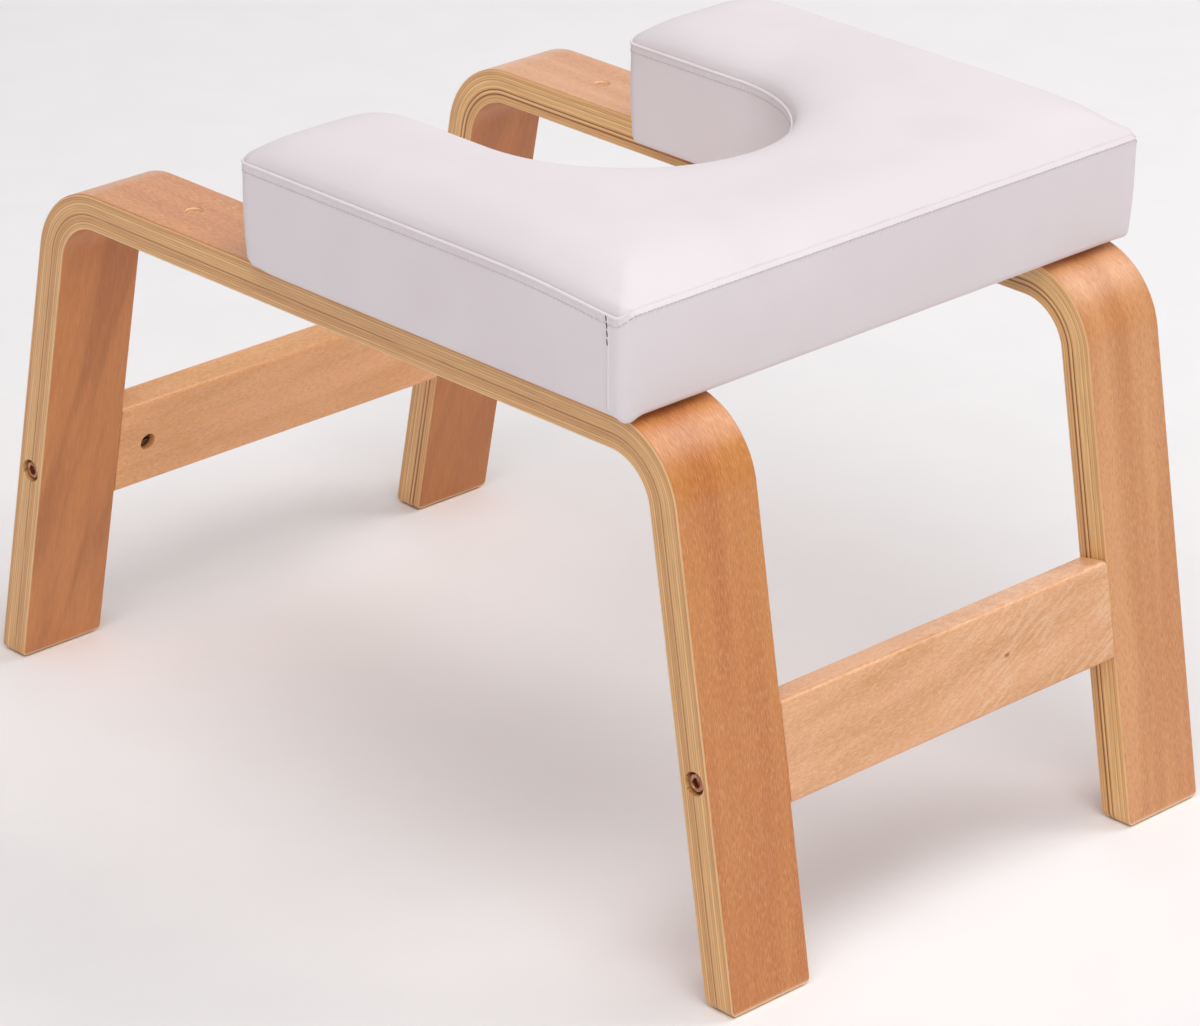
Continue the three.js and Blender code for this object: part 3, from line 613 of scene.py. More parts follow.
def stripPlaces(points, side):
    # the other way round: how far along the strip from its middle, across it and into it a point lies
    s = strip
    y, z = np.abs(points[:, 1]), points[:, 2]
    fromBendY, fromBendZ = y - s["bendY"], z - s["bendZ"]
    angle = np.arctan2(fromBendZ, fromBendY)
    onRail, onLeg = angle > math.pi / 2, angle < s["splay"]
    down = fromBendY * s["sin"] - fromBendZ * s["cos"]
    outward = fromBendY * s["cos"] + fromBendZ * s["sin"]
    bendAlong = s["bendY"] + (math.pi / 2 - angle) * s["middleRadius"]
    along = np.where(onRail, y, np.where(onLeg, s["bendY"] + s["bendLength"] + down, bendAlong))
    reach = np.where(onRail, fromBendZ, np.where(onLeg, outward, np.hypot(fromBendY, fromBendZ)))
    across = points[:, 0] - side * s["sideX"]
    return np.stack([along * np.sign(points[:, 1] + 1e-9), across, s["bendRadius"] - reach], -1)


def plainHole(width, depth, around):
    # a drill that starts outside the wood
    return turnedRings([(width / 2, -holeSizes["past"]), (width / 2, depth)], around)


def rimmedHole(width, rim, *deeper):
    # a drill with a bevel at the wood's face, and the (radius, depth) pairs that follow it
    h, radius = holeSizes, width / 2
    wide = radius + rim + h["over"]
    return turnedRings([(wide, -h["past"]), (wide, -h["over"]), (radius, rim), *deeper], h["rimSides"])


def cushionBoltY(rearward):
    # one setback in from the cushion's rear or front edge
    return pad["rear"] - holeSizes["boltSetback"] if rearward > 0 else pad["front"] + holeSizes["boltSetback"]


def legFrame(name, side, material, node):
    # Half the strip and its mirror image, drilled for the bars' bolts from the outer side, for their dowels
    # from the inner side, for the cushion's bolts from below, and for the plug from above.
    s, h = strip, holeSizes
    section = roundedSection(s["stripWidth"], s["stripThickness"], s["ease"], s["easeSteps"])
    rear = halfStrip(section[:, 0], s["half"] - section[:, 1])
    rings = np.concatenate([rear[:0:-1] * [1, -1, 1], rear])
    rings[..., 0] += side * s["sideX"]
    obj = addPiece(name, *loft(rings))
    sunk = [(h["sink"] / 2, h["sinkDepth"]), (h["bore"] / 2, h["sinkDepth"])]
    throughLeg = rimmedHole(h["sink"], h["rim"], *sunk, (h["bore"] / 2, s["stripWidth"] + h["past"]))
    throughRail = rimmedHole(h["sink"], h["rim"], *sunk, (h["bore"] / 2, s["stripThickness"] + h["past"]))
    dowelHole = plainHole(h["dowel"], h["dowelDepth"], h["dowelSides"])
    plugHole = rimmedHole(h["plug"], h["plugRim"], (h["plug"] / 2, h["plugDepth"]))
    cutters = [aimed(plugHole, (side * s["sideX"], s["plugY"], s["height"]), (0, 0, -1))]
    for rearward in (-1, 1):
        joint = np.array([0, rearward * s["jointY"], s["jointZ"]])
        cutters.append(aimed(throughLeg, joint + [side * s["stoolWidth"] / 2, 0, 0], (-side, 0, 0)))
        for offset in (h["dowelOffset"], -h["dowelOffset"]):
            up = np.array([side * s["innerX"], -rearward * offset * s["sin"], offset * s["cos"]])
            cutters.append(aimed(dowelHole, joint + up, (side, 0, 0)))
        below = (side * s["sideX"], cushionBoltY(rearward), s["height"] - s["stripThickness"])
        cutters.append(aimed(throughRail, below, (0, 0, 1)))
    cutOut(obj, [loft(cutter) for cutter in cutters])
    place = stripPlaces(coordinates(obj.data), side)
    attribute = obj.data.attributes.new("stripPlace", "FLOAT_VECTOR", "POINT")
    attribute.data.foreach_set("vector", place.astype(np.float32).ravel())
    dress(obj, material, [node])


# Crossbars: a rounded section carried along X, its ends eased

barSizes = {
    "gap": 0.3, "ease": 3.0, "easeSteps": 6, "endEase": 0.8, "endSteps": 4, "middleRings": 7,
    "nutSetback": 22, "nutHole": 10.3, "nutRim": 0.4, "nutDepth": 6.3, "boltDepth": 30.9,
}


def crossbar(name, rearward, material, node):
    # the section is drawn in at the ends on quarter circles: ease times (1 - cosine)
    s, h, b = strip, holeSizes, barSizes
    half = s["innerX"] - b["gap"]
    section = roundedSection(s["stripThickness"], s["barHeight"], b["ease"], b["easeSteps"])
    turn = np.linspace(0, math.pi / 2, b["endSteps"] + 1)
    endX, endIn = half - b["endEase"] * (1 - np.sin(turn)), b["endEase"] * (1 - np.cos(turn))
    x = np.concatenate([-endX[::-1], np.linspace(-half, half, b["middleRings"] + 2)[1:-1], endX])
    drawn = np.concatenate([endIn[::-1], np.zeros(b["middleRings"]), endIn])[:, None]
    out, up = section[:, 0] * (1 - drawn / s["half"]), section[:, 1] * (1 - drawn / (s["barHeight"] / 2))
    rings = tilted(np.stack(np.broadcast_arrays(x[:, None], out, up), -1), rearward)
    obj = addPiece(name, *loft(rings))
    bore = plainHole(h["bore"], b["boltDepth"], h["boreSides"])
    dowelHole = plainHole(h["dowel"], h["dowelDepth"], h["dowelSides"])
    nutHole = rimmedHole(b["nutHole"], b["nutRim"], (b["nutHole"] / 2, s["half"] + b["nutDepth"]))
    straight, crossing = [], []
    for side in (-1, 1):
        straight.append(aimed(bore, (side * s["innerX"], 0, 0), (-side, 0, 0)))
        for offset in (h["dowelOffset"], -h["dowelOffset"]):
            straight.append(aimed(dowelHole, (side * s["innerX"], 0, offset), (-side, 0, 0)))
        crossing.append(aimed(nutHole, (side * (s["innerX"] - b["nutSetback"]), -s["half"], 0), (0, 1, 0)))
    for cutters in (straight, crossing):
        cutOut(obj, [loft(tilted(cutter, rearward)) for cutter in cutters])
    dress(obj, material, [node])


def tilted(points, rearward):
    # from a bar's own axes, with X along it, Y out through its outer face and Z up along the legs
    x, out, up = np.moveaxis(points, -1, 0)
    y = strip["jointY"] + out * strip["cos"] - up * strip["sin"]
    z = strip["jointZ"] + out * strip["sin"] + up * strip["cos"]
    return np.stack([x, rearward * y, z], -1)


# Socket head bolts and the handle plugs, turned shapes

boltSizes = {
    "head": 5.0, "headHeight": 6.0, "shank": 3.0, "socket": 2.5, "socketDepth": 3.0, "bearing": 7.6,
    "drillTip": (0.5, 0.9),  # radius, and depth below the socket's floor
    "mouth": 1.2,  # times the socket's size
    "barLength": 80, "padLength": 25, "bevel": 0.3, "tip": 0.6,
    "crown": ((1.0, 0.0), (0.45, 0.08), (0.12, 0.35), (0.0, 0.8)),  # in from the side, down from the top
}
plugSizes = {
    "radius": 4.3, "depth": 7.0,
    "dome": ((1.0, 0.0, 1.45), (1.0, -0.35, 1.15), (0.6, 0.0, 0.9), (0.0, 0.4, 0.75)),  # share, more, down
}


def socketBolt(name, length, place, direction, material, node):
    # a hexagon socket with a bevelled mouth, a rounded head, a plain shank and a bevelled tip
    b = boltSizes
    top, bevel, socket, shank = -b["headHeight"], b["bevel"], b["socket"], b["shank"]
    floor, (tipRadius, tipDepth) = top + b["socketDepth"], b["drillTip"]
    profile = [(tipRadius, floor + tipDepth), (socket, floor), (socket, top + bevel)]
    profile.append((socket * b["mouth"], top))
    profile += [(b["head"] - inward, top + down) for inward, down in b["crown"]]
    profile += [(b["head"], -bevel), (b["head"] - bevel, 0), (shank + bevel, 0), (shank, bevel)]
    profile += [(shank, length - b["tip"]), (shank - b["tip"], length)]
    rings = turnedRings(profile, isHex=[number in (1, 2) for number in range(len(profile))])
    addPiece(name, *loft(aimed(rings, place, direction)), material, "bronze", [node])


def handlePlug(name, side, material, node):
    # a cylinder with a low dome
    radius, top = plugSizes["radius"], strip["height"]
    profile = [(radius, top - plugSizes["depth"])]
    profile += [(radius * share + more, top - down) for share, more, down in plugSizes["dome"]]
    rings = turnedRings(profile) + np.array([side * strip["sideX"], strip["plugY"], 0])
    addPiece(name, *loft(rings), material, "dowel_wood", [node])


# Cushion: rows of points across its U shape, and loops round it for seam, walls and underside

cushionSizes = {
    "width": 390, "length": 293.5, "rear": 224.5, "neckWidth": 184, "neckDepth": 183,
    "base": 309.4, "seamHeight": 60, "crown": 14.5, "crownReach": 42, "crownFall": 2.5, "crownRise": 0.55,
    "columnPower": 1.6, "rowPower": 1.5, "roundSteps": 4,
    "cornerDip": 4.8, "dipReach": 50, "dipFade": 3.0, "rearRound": 8.5, "armRound": 9, "leastRound": 2.0,
    "rearStart": 3.0, "rearFall": 1.2, "rearSink": 0.7, "softReach": 8.5,
    "rollInset": 3.0, "edgeRoll": 4.5, "armRoll": 4.0, "armRollReach": 16,
    "band": 8.0, "bandLean": 50, "bandLift": 1.85, "bandShort": 0.75,
    "bead": (0.5, 1.2), "beadSink": 0.5, "drawIn": 1.6, "drawPower": 1.7, "tuckIn": 0.1, "belly": 0.35,
    "skin": 1.2, "flap": 25, "flapShares": (0.2, 0.45, 0.7, 1.0), "insideShares": (1.0, 0.6, 0.25),
    "liningShares": (1.0, 0.7, 0.35, 0.0), "liningRise": 2.0, "liningIn": 1.5,
    "liningGap": 0.6, "liningDrop": 1.5,
    "tuck": 1.7, "tuckOut": 0.9, "tuckPlace": (5, 2), "tuckReach": 7.5, "leftTuck": 0.25,
    "tuckShares": (0.25, 0.6, 0.9, 1.0, 1.0),  # one for each loop of the edge roll
    "fine": 5, "swellTop": 1.6, "swellEase": 15, "swellWall": 1.2,
    "roll": ((2.1, 4.4), (1.4, 3.0), (1.0, 1.6), (0.85, 0.5)),  # in from the seam and up
    # welt: its profile, and its share of the welt's look, a painted highlight and more gloss
    "welt": (  # out and up from the seam, with its share of the welt's look
        (-0.6, 0.35, 0), (-0.42, 0.58, 0.35), (-0.12, 0.7, 0.85), (0.2, 0.6, 0.85), (0.4, 0.32, 0.5),
        (0.42, 0.0, 0.1), (0.26, -0.3, 0), (0.04, -0.62, 0),
    ),
    "stitched": (
        (0.06, -1.5), (0.11, -2.5), (0.06, -3.5), (0.0, -4.2), (-0.07, -4.7), (-0.08, -5.1), (0.0, -5.7),
        (0.03, -6.8), (-0.1, -8.0),
    ),
    "wallShares": (0, 0.08, 0.17, 0.27, 0.38, 0.5, 0.62, 0.73, 0.83, 0.92, 1.0),
}
stitchSizes = {
    "drop": 4.75, "pitch": 3.0, "size": (0.3, 2.1), "sink": -0.02,
    "rodWidths": (0.45, 0.95, 1.1, 0.95, 0.45), "rodEnd": 0.4,
    "pucker": 0.36, "evenness": (0.8, 0.5), "puckerWaves": (23, 41, 71, 131, 197), "puckerSeed": 5,
    "puckerRows": ((2.6, 1.3, 0.35), (4.7, 0.9, 1.0)),  # down from the seam, reach and strength
    "ripple": 0.12, "rippleWaves": (47, 66, 89, 103), "rippleSeed": 6,
    "cornerSeamY": 210.8, "cornerBow": 1.3, "besideEdge": 0.5,
    "cornerTop": ((0.1, 0.7), (0.1, 2.5), (0.0, 4.7), (0.0, 6.3)),  # out and down from the seam
    "cornerSection": (  # along the wall and out of it
        (-1.5, -0.3), (-0.7, 0.2), (-0.24, 0.48), (0, -0.1), (0.24, 0.48), (0.7, 0.2), (1.5, -0.3), (0, -0.6),
    ),
    # the corners' near-black dashes are painted shade of the seam's gaps: their drops, how far out, size and
    # slant
    "shadeDrops": (1.7, 5.5, 9.7, 14.2), "shadeOut": 0.42, "shadeSize": (0.34, 2.9), "shadeSlant": 0.14,
}
clothRun = {
    "frames": 20, "quality": 6, "mass": 0.3, "stretch": 25, "shear": 12, "bending": 2.0, "pressure": 4.0,
}
pad = cushionSizes
pad["front"] = pad["rear"] - pad["length"]
pad["neckY"] = pad["front"] + pad["neckDepth"] - pad["neckWidth"] / 2
pad["seam"] = pad["base"] + pad["seamHeight"]


def smoothShare(value):
    # held between 0 and 1, then value squared times (3 - 2 value)
    value = np.clip(value, 0, 1)
    return value * value * (3 - 2 * value)


def crownShare(distance):
    # 1 - (1 - distance / reach) to the fall power, all to the rise power
    share = np.clip(distance / pad["crownReach"], 0, 1)
    return (1 - (1 - share) ** pad["crownFall"]) ** pad["crownRise"]


def crownLevel(x, y, edge, end):
    # the seam's level plus the crown times both edges' shares; near the rear it starts at one level
    # inside the leaned band and rises evenly: 1 - (1 - distance / reach) to the rear fall power
    reach, start = pad["crownReach"], pad["rearStart"]
    nearRear = smoothShare(1 - (pad["rear"] - y) / reach)
    nearRear = nearRear * smoothShare((pad["width"] / 2 - np.abs(x)) / pad["softReach"])
    inside = np.clip((edge - start) / (reach - start), 0, 1)
    share = crownShare(edge) * (1 - nearRear) + (1 - (1 - inside) ** pad["rearFall"]) * nearRear
    level = seamLevel(x, y)
    return level + (pad["seam"] - pad["rearSink"] - level) * nearRear + pad["crown"] * share * crownShare(end)


def seamLevel(x, y):
    # the seam dips near the rear corners: dip times e to the -(distance / reach) squared, where distance
    # counts the dip fade times as much along the rear as along the sides
    distance = np.hypot((pad["width"] / 2 - np.abs(x)) * pad["dipFade"], pad["rear"] - y)
    return pad["seam"] - pad["cornerDip"] * np.exp(-(distance / pad["dipReach"]) ** 2)


def cushionPlan(inset, columnsEach=16, step=4.0):
    # Arms: straight rows from the neck opening to the outside, square corners pushed into round ones.
    # Turn: rows from the neck's arc to evenly spaced points of the outer edge. The left half is mirrored.
    # Returns x, y, the distance to the nearer long edge and the distance to the front end.
    side, neck = pad["width"] / 2 - inset, pad["neckWidth"] / 2 + inset
    front, deep = pad["front"] + inset, pad["rear"] - inset - pad["neckY"]
    spread = np.linspace(0, 1, columnsEach + 1) ** pad["columnPower"] / 2
    share = np.concatenate([spread, 1 - spread[-2::-1]])
    near = np.minimum(share, 1 - share)
    armLength, reach = pad["neckY"] - front, pad["crownReach"]
    fall = reach * np.linspace(0, 1, int(reach / step * pad["rowPower"]) + 1) ** pad["rowPower"]
    flat = int((pad["neckY"] - pad["front"] - reach) / step) + 1
    depth = np.concatenate([fall, np.linspace(reach, armLength, flat)[1:]])[:, None]
    across = near * (side - neck) * np.ones_like(depth)
    depth = depth * np.ones_like(across)
    radius = max(pad["armRound"] - inset, pad["leastRound"])
    reachX, reachY = radius - across, radius - depth
    longest = np.maximum(reachX, reachY) / np.maximum(np.hypot(reachX, reachY), 1e-9)
    squeeze = np.where((reachX > 0) & (reachY > 0), longest, 1)
    movedX, movedY = radius - reachX * squeeze, radius - reachY * squeeze
    armX, armY = np.where(share < 0.5, neck + movedX, side - movedX), front + movedY

    corner = max(pad["rearRound"] - inset, pad["leastRound"])
    sideRun = np.linspace(0, deep - corner, int((pad["rear"] - pad["neckY"]) / step) + 1)[1:]
    turn = np.linspace(0, math.pi / 2, int(pad["rearRound"] * pad["roundSteps"] / step) + 1)[1:]
    rearRun = np.linspace(side - corner, 0, int(pad["width"] / 2 / step) + 1)[1:]
    outer = np.concatenate([
        np.stack([np.full_like(sideRun, side), sideRun], -1),
        np.stack([side - corner + corner * np.cos(turn), deep - corner + corner * np.sin(turn)], -1),
        np.stack([rearRun, np.full_like(rearRun, deep)], -1),
    ])
    inner = neck * outer / np.linalg.norm(outer, axis=1, keepdims=True)
    row = inner[:, None] + (outer - inner)[:, None] * share[None, :, None]
    length = np.linalg.norm(outer - inner, axis=1)[:, None]
    x = np.concatenate([armX, row[..., 0]])
    y = np.concatenate([armY, row[..., 1] + pad["neckY"]])
    edge = np.concatenate([across, near * length]) + inset
    end = np.concatenate([depth, np.full(row.shape[:2], armLength)]) + inset
    mirrored = [np.concatenate([half, half[-2::-1]]) for half in (y, edge, end)]
    return [np.concatenate([x, -x[-2::-1]])] + mirrored


def rimOf(table):
    # the border of a table of values, walked with the outside on the right
    return np.concatenate([table[0, :-1], table[:-1, -1], table[-1, :0:-1], table[:0:-1, 0]])


def planRim(inset, *steps):
    # the cushion's outline in plan, drawn in by the inset
    return rimOf(np.stack(cushionPlan(inset, *steps)[:2], -1))


def headingOf(loop):
    # unit vectors along a closed loop, from the point before to the point after
    ahead = np.roll(loop, -1, 0) - np.roll(loop, 1, 0)
    return ahead / np.linalg.norm(ahead, axis=1, keepdims=True)


def outwardOf(loop):
    # unit normals in plan of a closed loop: its heading turned a quarter to the right
    return headingOf(loop)[:, ::-1] * [1, -1]


def raised(loop, height):
    # a loop of x and y with its heights, or one height for all of it
    return np.column_stack([loop, np.broadcast_to(height, len(loop))])


def refined(loop, times):
    # points between those of a closed loop, on the cubic through four neighbours
    before, ahead, beyond = np.roll(loop, 1, 0), np.roll(loop, -1, 0), np.roll(loop, -2, 0)
    t = (np.arange(times) / times)[None, :, None]
    a, b, d, e = (part[:, None] for part in (before, loop, ahead, beyond))
    square, cube = 2 * a - 5 * b + 4 * d - e, 3 * b - a - 3 * d + e
    between = 0.5 * (2 * b + (d - a) * t + square * t ** 2 + cube * t ** 3)
    return between.reshape(-1, loop.shape[1])


def loopLength(loop):
    # distance walked round a closed loop up to each of its points, and the whole way round
    steps = np.linalg.norm(np.roll(loop, -1, 0) - loop, axis=1)
    return np.concatenate([[0], np.cumsum(steps)[:-1]]), steps.sum()


def spacedAlong(loop, place, length, pitch):
    # one point each pitch along a closed loop, with the heading there and the number of the loop's next point
    count = round(length / pitch)
    targets = (np.arange(count) + 0.5) * length / count
    number = np.clip(np.searchsorted(place, targets), 0, len(place) - 1)
    spots = np.column_stack([np.interp(targets, place, values) for values in loop.T])
    return spots, headingOf(loop)[number], number


def doubled(values, axis, closed=False):
    # one new value between each two, from the four nearest: (9 (b + c) - a - d) / 16
    v = np.moveaxis(values, axis, 0)
    if closed:
        ends = np.concatenate([v[-1:], v, v[:2]])
    else:
        ends = np.concatenate([2 * v[:1] - v[1:2], v, 2 * v[-1:] - v[-2:-1]])
    between = (9 * (ends[1:-2] + ends[2:-1]) - ends[:-3] - ends[3:]) / 16
    out = np.empty((len(v) + len(between),) + v.shape[1:])
    out[::2], out[1::2] = v, between
    return np.moveaxis(out, 0, axis)


def softWaves(place, length, waves, seed):
    # a sum of sines, each a whole number of waves round the loop, with fixed random phases and sizes
    random = np.random.default_rng(seed)
    phase, size = random.uniform(0, 2 * math.pi, len(waves)), random.uniform(0.5, 1, len(waves))
    total = sum(s * np.sin(2 * math.pi * n * place / length + p) for n, p, s in zip(waves, phase, size))
    return total / size.sum()


def smoothed(values, times=3):
    # each inner value of a table becomes a quarter of its neighbours' sum, mixed half and half with itself
    for _ in range(times):
        values = values.copy()
        around = (values[:-2, 1:-1] + values[2:, 1:-1] + values[1:-1, :-2] + values[1:-1, 2:]) / 4
        values[1:-1, 1:-1] = (values[1:-1, 1:-1] + around) / 2
    return values


def capped(moved, limit):
    # no point moves further than the limit, and most of them less: limit times tanh(distance / limit)
    distance = np.linalg.norm(moved, axis=-1, keepdims=True)
    return moved * np.tanh(distance / limit) * limit / np.maximum(distance, 1e-9)


def swell(top, loops):
    # The cover blown up over its foam by cloth simulation: the top's table of points and the loops from
    # the seam down. It is held at the seam and at the last loop. Returns how far each point moved.
    index = numbered(top)
    rings = numbered(loops, index.size)
    faces = np.concatenate([quadsOf(index), ringQuads([rimOf(index), *rings])])
    obj = addPiece("clothRun", pointsOf(top, loops), [faces])
    pins = obj.vertex_groups.new(name="held")
    pins.add([int(i) for i in np.concatenate([rings[0], rings[-1]])], 1.0, "REPLACE")
    cloth = obj.modifiers.new("cloth", "CLOTH")
    s, run = cloth.settings, clothRun
    s.quality, s.mass, s.vertex_group_mass = run["quality"], run["mass"], "held"
    s.tension_stiffness = s.compression_stiffness = run["stretch"]
    s.shear_stiffness, s.bending_stiffness = run["shear"], run["bending"]
    s.use_pressure, s.uniform_pressure_force = True, run["pressure"]
    s.effector_weights.gravity = 0
    cloth.point_cache.frame_start, cloth.point_cache.frame_end = 1, run["frames"]
    before = coordinates(obj.data)
    for number in range(1, run["frames"] + 1):
        scene.frame_set(number)
    keepResult(obj)
    moved = coordinates(obj.data) - before
    scene.frame_set(1)
    bpy.data.objects.remove(obj)
    return moved[: index.size].reshape(top.shape), moved[index.size :].reshape(loops.shape)


def leanedBack(out, height, share, dip):
    # Along the rear the band lies back on the crown: above the stitches it is turned about them, and it is
    # lifted with them to one level, less and less down to where the wall begins. The dip is the seam's own.
    lean, drop = math.radians(pad["bandLean"]), stitchSizes["drop"]
    above, below = np.maximum(height + drop, 0), np.minimum(height + drop, 0)
    lift = (pad["bandLift"] + dip) * (1 + below / (pad["band"] - drop))
    kept = above * pad["bandShort"]
    leanOut = np.where(above > 0, out * math.cos(lean) - kept * math.sin(lean), out)
    leanHeight = -drop + below + lift + kept * math.cos(lean) + np.where(above > 0, out * math.sin(lean), 0)
    return out + (leanOut - out) * share, height + (leanHeight - height) * share


def wallLoop(rim, level, lowEdge, share, inward=0.0):
    # the wall between the stitched band and the edge roll: a slight belly, drawn in towards the underside
    drawn = (pad["drawIn"] - pad["tuckIn"]) * share ** pad["drawPower"]
    out = pad["belly"] * np.sin(math.pi * share) - pad["tuckIn"] - drawn
    height = (level - pad["band"]) * (1 - share) + lowEdge * share
    return raised(rim + outwardOf(rim) * (out - inward), height)


def sewnBand(top, rim, level, bandShift):
    # Rolled edge, welt and stitched band, with more points for each one of the wall's. Their loops go down
    # from the top panel. The thread draws the band in once each pitch: pucker times -cosine. Gives the loops,
    # the share of welt in each, and the line of the stitches.
    t, times = stitchSizes, pad["fine"]
    fineRim, fineLevel = refined(rim, times), refined(level[:, None], times)[:, 0]
    fineTop, fineOut = refined(rimOf(top), times), outwardOf(fineRim)
    place, length = loopLength(fineRim)
    pucker = -np.cos(2 * math.pi * round(length / t["pitch"]) * place / length)
    even, uneven = t["evenness"]
    pucker *= t["pucker"] * (even + uneven * softWaves(place, length, t["puckerWaves"], t["puckerSeed"]))
    ripple = t["ripple"] * softWaves(place, length, t["rippleWaves"], t["rippleSeed"])
    sideways = np.abs(fineOut[:, 0])
    bead = pad["bead"][0] + pad["bead"][1] * sideways
    leaned = np.clip(fineOut[:, 1], 0, 1) ** 2 * (fineRim[:, 1] > pad["neckY"])
    firstRise = pad["crown"] * crownShare(pad["rollInset"])
    rise = (fineTop[:, 2] - fineLevel) / firstRise
    dip = pad["seam"] - fineLevel
    beadOut, beadHeight = leanedBack(*(value * bead for value in pad["welt"][0][:2]), leaned, dip)
    foot = raised(fineRim + fineOut * beadOut[:, None], fineLevel + beadHeight)
    rows = []
    for rowInset, rowRise in pad["roll"]:
        share = rowInset / pad["rollInset"]
        upright = raised(fineRim + (fineTop[:, :2] - fineRim) * share, fineLevel + rowRise * rise)
        sloped = foot + (fineTop - foot) * rowRise / firstRise
        row = upright + (sloped - upright) * leaned[:, None]
        row[:, :2] += fineOut * (share * ripple)[:, None]
        rows.append(row)
    profile = [(out * bead, height * bead - pad["beadSink"] * sideways) for out, height, _ in pad["welt"]]
    for out, height in profile + list(pad["stitched"]):
        strength = sum(most * np.exp(-((height + down) / near) ** 2) for down, near, most in t["puckerRows"])
        rowOut, rowHeight = leanedBack(out + strength * pucker, height, leaned, dip)
        loop = raised(fineRim + fineOut * rowOut[:, None], fineLevel + rowHeight)
        rows.append(loop + bandShift * np.reshape((height / pad["band"]) ** 2, (-1, 1)))
    onWelt = [0] * len(pad["roll"]) + [share for _, _, share in pad["welt"]] + [0] * len(pad["stitched"])
    line = raised(fineRim, fineLevel - t["drop"] + (pad["bandLift"] + dip) * leaned)
    line += bandShift * (t["drop"] / pad["band"]) ** 2
    return np.array(rows), np.outer(onWelt, sideways), (line, fineOut, place, length)


def turnedUnder(rim, wall, roll, lowEdge, wallAt):
    # Edge roll on a quarter circle, the flap under the board and the lining back up inside the walls. The
    # roll is tucked at the rear corners: tuck times e to the -(distance from the tuck / reach) to the 4th.
    bottomRim, outward, loops = wall[-1, :, :2], outwardOf(rim), []
    tuckX, tuckY = pad["width"] / 2 - pad["tuckPlace"][0], pad["rear"] - pad["tuckPlace"][1]
    fromTuck = np.hypot(tuckX - np.abs(rim[:, 0]), tuckY - rim[:, 1])
    corner = np.exp(-(fromTuck / pad["tuckReach"]) ** 4) * np.where(rim[:, 0] > 0, 1.0, pad["leftTuck"])
    for turn, share in zip(np.linspace(0, math.pi / 2, len(pad["tuckShares"]) + 1)[1:], pad["tuckShares"]):
        moved = pad["tuckOut"] * corner * share - roll * (1 - math.cos(turn))
        height = lowEdge - roll * math.sin(turn) - pad["tuck"] * corner * share
        loops.append(raised(bottomRim + outward * moved[:, None], height))
    last = loops[-1][:, :2]
    inward = planRim(pad["flap"]) - last
    loops += [raised(last + inward * share, pad["base"]) for share in pad["flapShares"]]
    above = pad["base"] + pad["skin"]
    loops += [raised(last + inward * share, above) for share in pad["insideShares"]]
    loops.append(raised(bottomRim - outward * (pad["skin"] + pad["liningIn"]), above))
    for share in pad["liningShares"]:
        loops.append(wallAt(share, pad["skin"]) + [0, 0, pad["liningRise"] * share])
    return np.array(loops)


def cushionCover(material):
    # top panel, rolled edge, seam, stitched band, walls, edge roll, turned under flap, and the lining inside
    x, y, edge, end = cushionPlan(pad["rollInset"])
    z = crownLevel(x, y, edge, end)
    top = np.stack([x, y, z], -1)
    rim = planRim(0)
    level = seamLevel(rim[:, 0], rim[:, 1])
    fromArmCorner = np.hypot(pad["width"] / 2 - np.abs(rim[:, 0]), rim[:, 1] - pad["front"])
    roll = pad["edgeRoll"] + pad["armRoll"] * np.exp(-(fromArmCorner / pad["armRollReach"]) ** 2)
    lowEdge = pad["base"] + roll

    def wallAt(share, inward=0.0):
        # the wall's loop at a share of the way down, before the cloth moves it
        return wallLoop(rim, level, lowEdge, share, inward)

    wall = np.stack([wallAt(share) for share in pad["wallShares"]])
    straight = wall[0]
    # the run has every second row and column
    movedTop, movedLoops = swell(top[::2, ::2], np.stack([raised(rim, level)[::2], *wall[::2, ::2]]))
    moved = doubled(doubled(smoothed(capped(movedTop, pad["swellTop"])), 0), 1)
    moved *= smoothShare(np.minimum(edge, end) / pad["swellEase"])[..., None]
    top = top + moved
    movedWall = capped(movedLoops[1:], pad["swellWall"])
    wall = wall + doubled(doubled(movedWall, 1, closed=True), 0)
    print("cover: cloth moved the top %.2f mm and the walls %.2f mm at most"
          % (np.linalg.norm(moved, axis=-1).max(), np.linalg.norm(movedWall, axis=-1).max()))
    band, onWelt, stitchLine = sewnBand(top, rim, level, refined(wall[0] - straight, pad["fine"]))
    under = turnedUnder(rim, wall, roll, lowEdge, wallAt)
    lining = np.stack([x, y, z - pad["skin"] - pad["liningGap"]], -1)
    for border in (lining[0], lining[-1], lining[:, 0], lining[:, -1]):
        border[:, 2] -= pad["liningDrop"]

    # numbers and faces: where the fine loops meet coarse ones, each face has one coarse edge and fine ones
    index, coarse = numbered(top), np.concatenate([wall[1:], under])
    bandIndex = numbered(band, index.size)
    wallIndex = numbered(coarse, index.size + bandIndex.size)
    liningIndex = index.size + bandIndex.size + wallIndex.size + index
    steps = np.arange(len(rim))[:, None] * pad["fine"] + np.arange(pad["fine"] + 1)
    steps %= bandIndex.shape[1]
    rimIndex = rimOf(index)
    upper = np.column_stack([np.roll(rimIndex, -1), rimIndex, bandIndex[0][steps]])
    lower = np.column_stack([bandIndex[-1][steps][:, ::-1], wallIndex[0], np.roll(wallIndex[0], -1)])
    quads = [quadsOf(index), ringQuads(bandIndex), ringQuads(wallIndex),
             ringQuads([wallIndex[-1], rimOf(liningIndex)]), quadsOf(liningIndex)[:, ::-1]]
    points = pointsOf(top, band, coarse, lining)
    obj = addPiece("cushionCoverSewn", points, [np.concatenate(quads), np.concatenate([upper, lower])],
                   material, "cover", ["cushion_cover"], sharpAngle=75)
    # the welt's share: the leather colours it paler as a painted highlight and makes it glossier
    welt = np.zeros(len(points), np.float32)
    welt[bandIndex] = onWelt
    obj.data.attributes.new("welt", "FLOAT", "POINT").data.foreach_set("value", welt)
    obj.modifiers.clear()
    return stitchLine, (rim, wall)


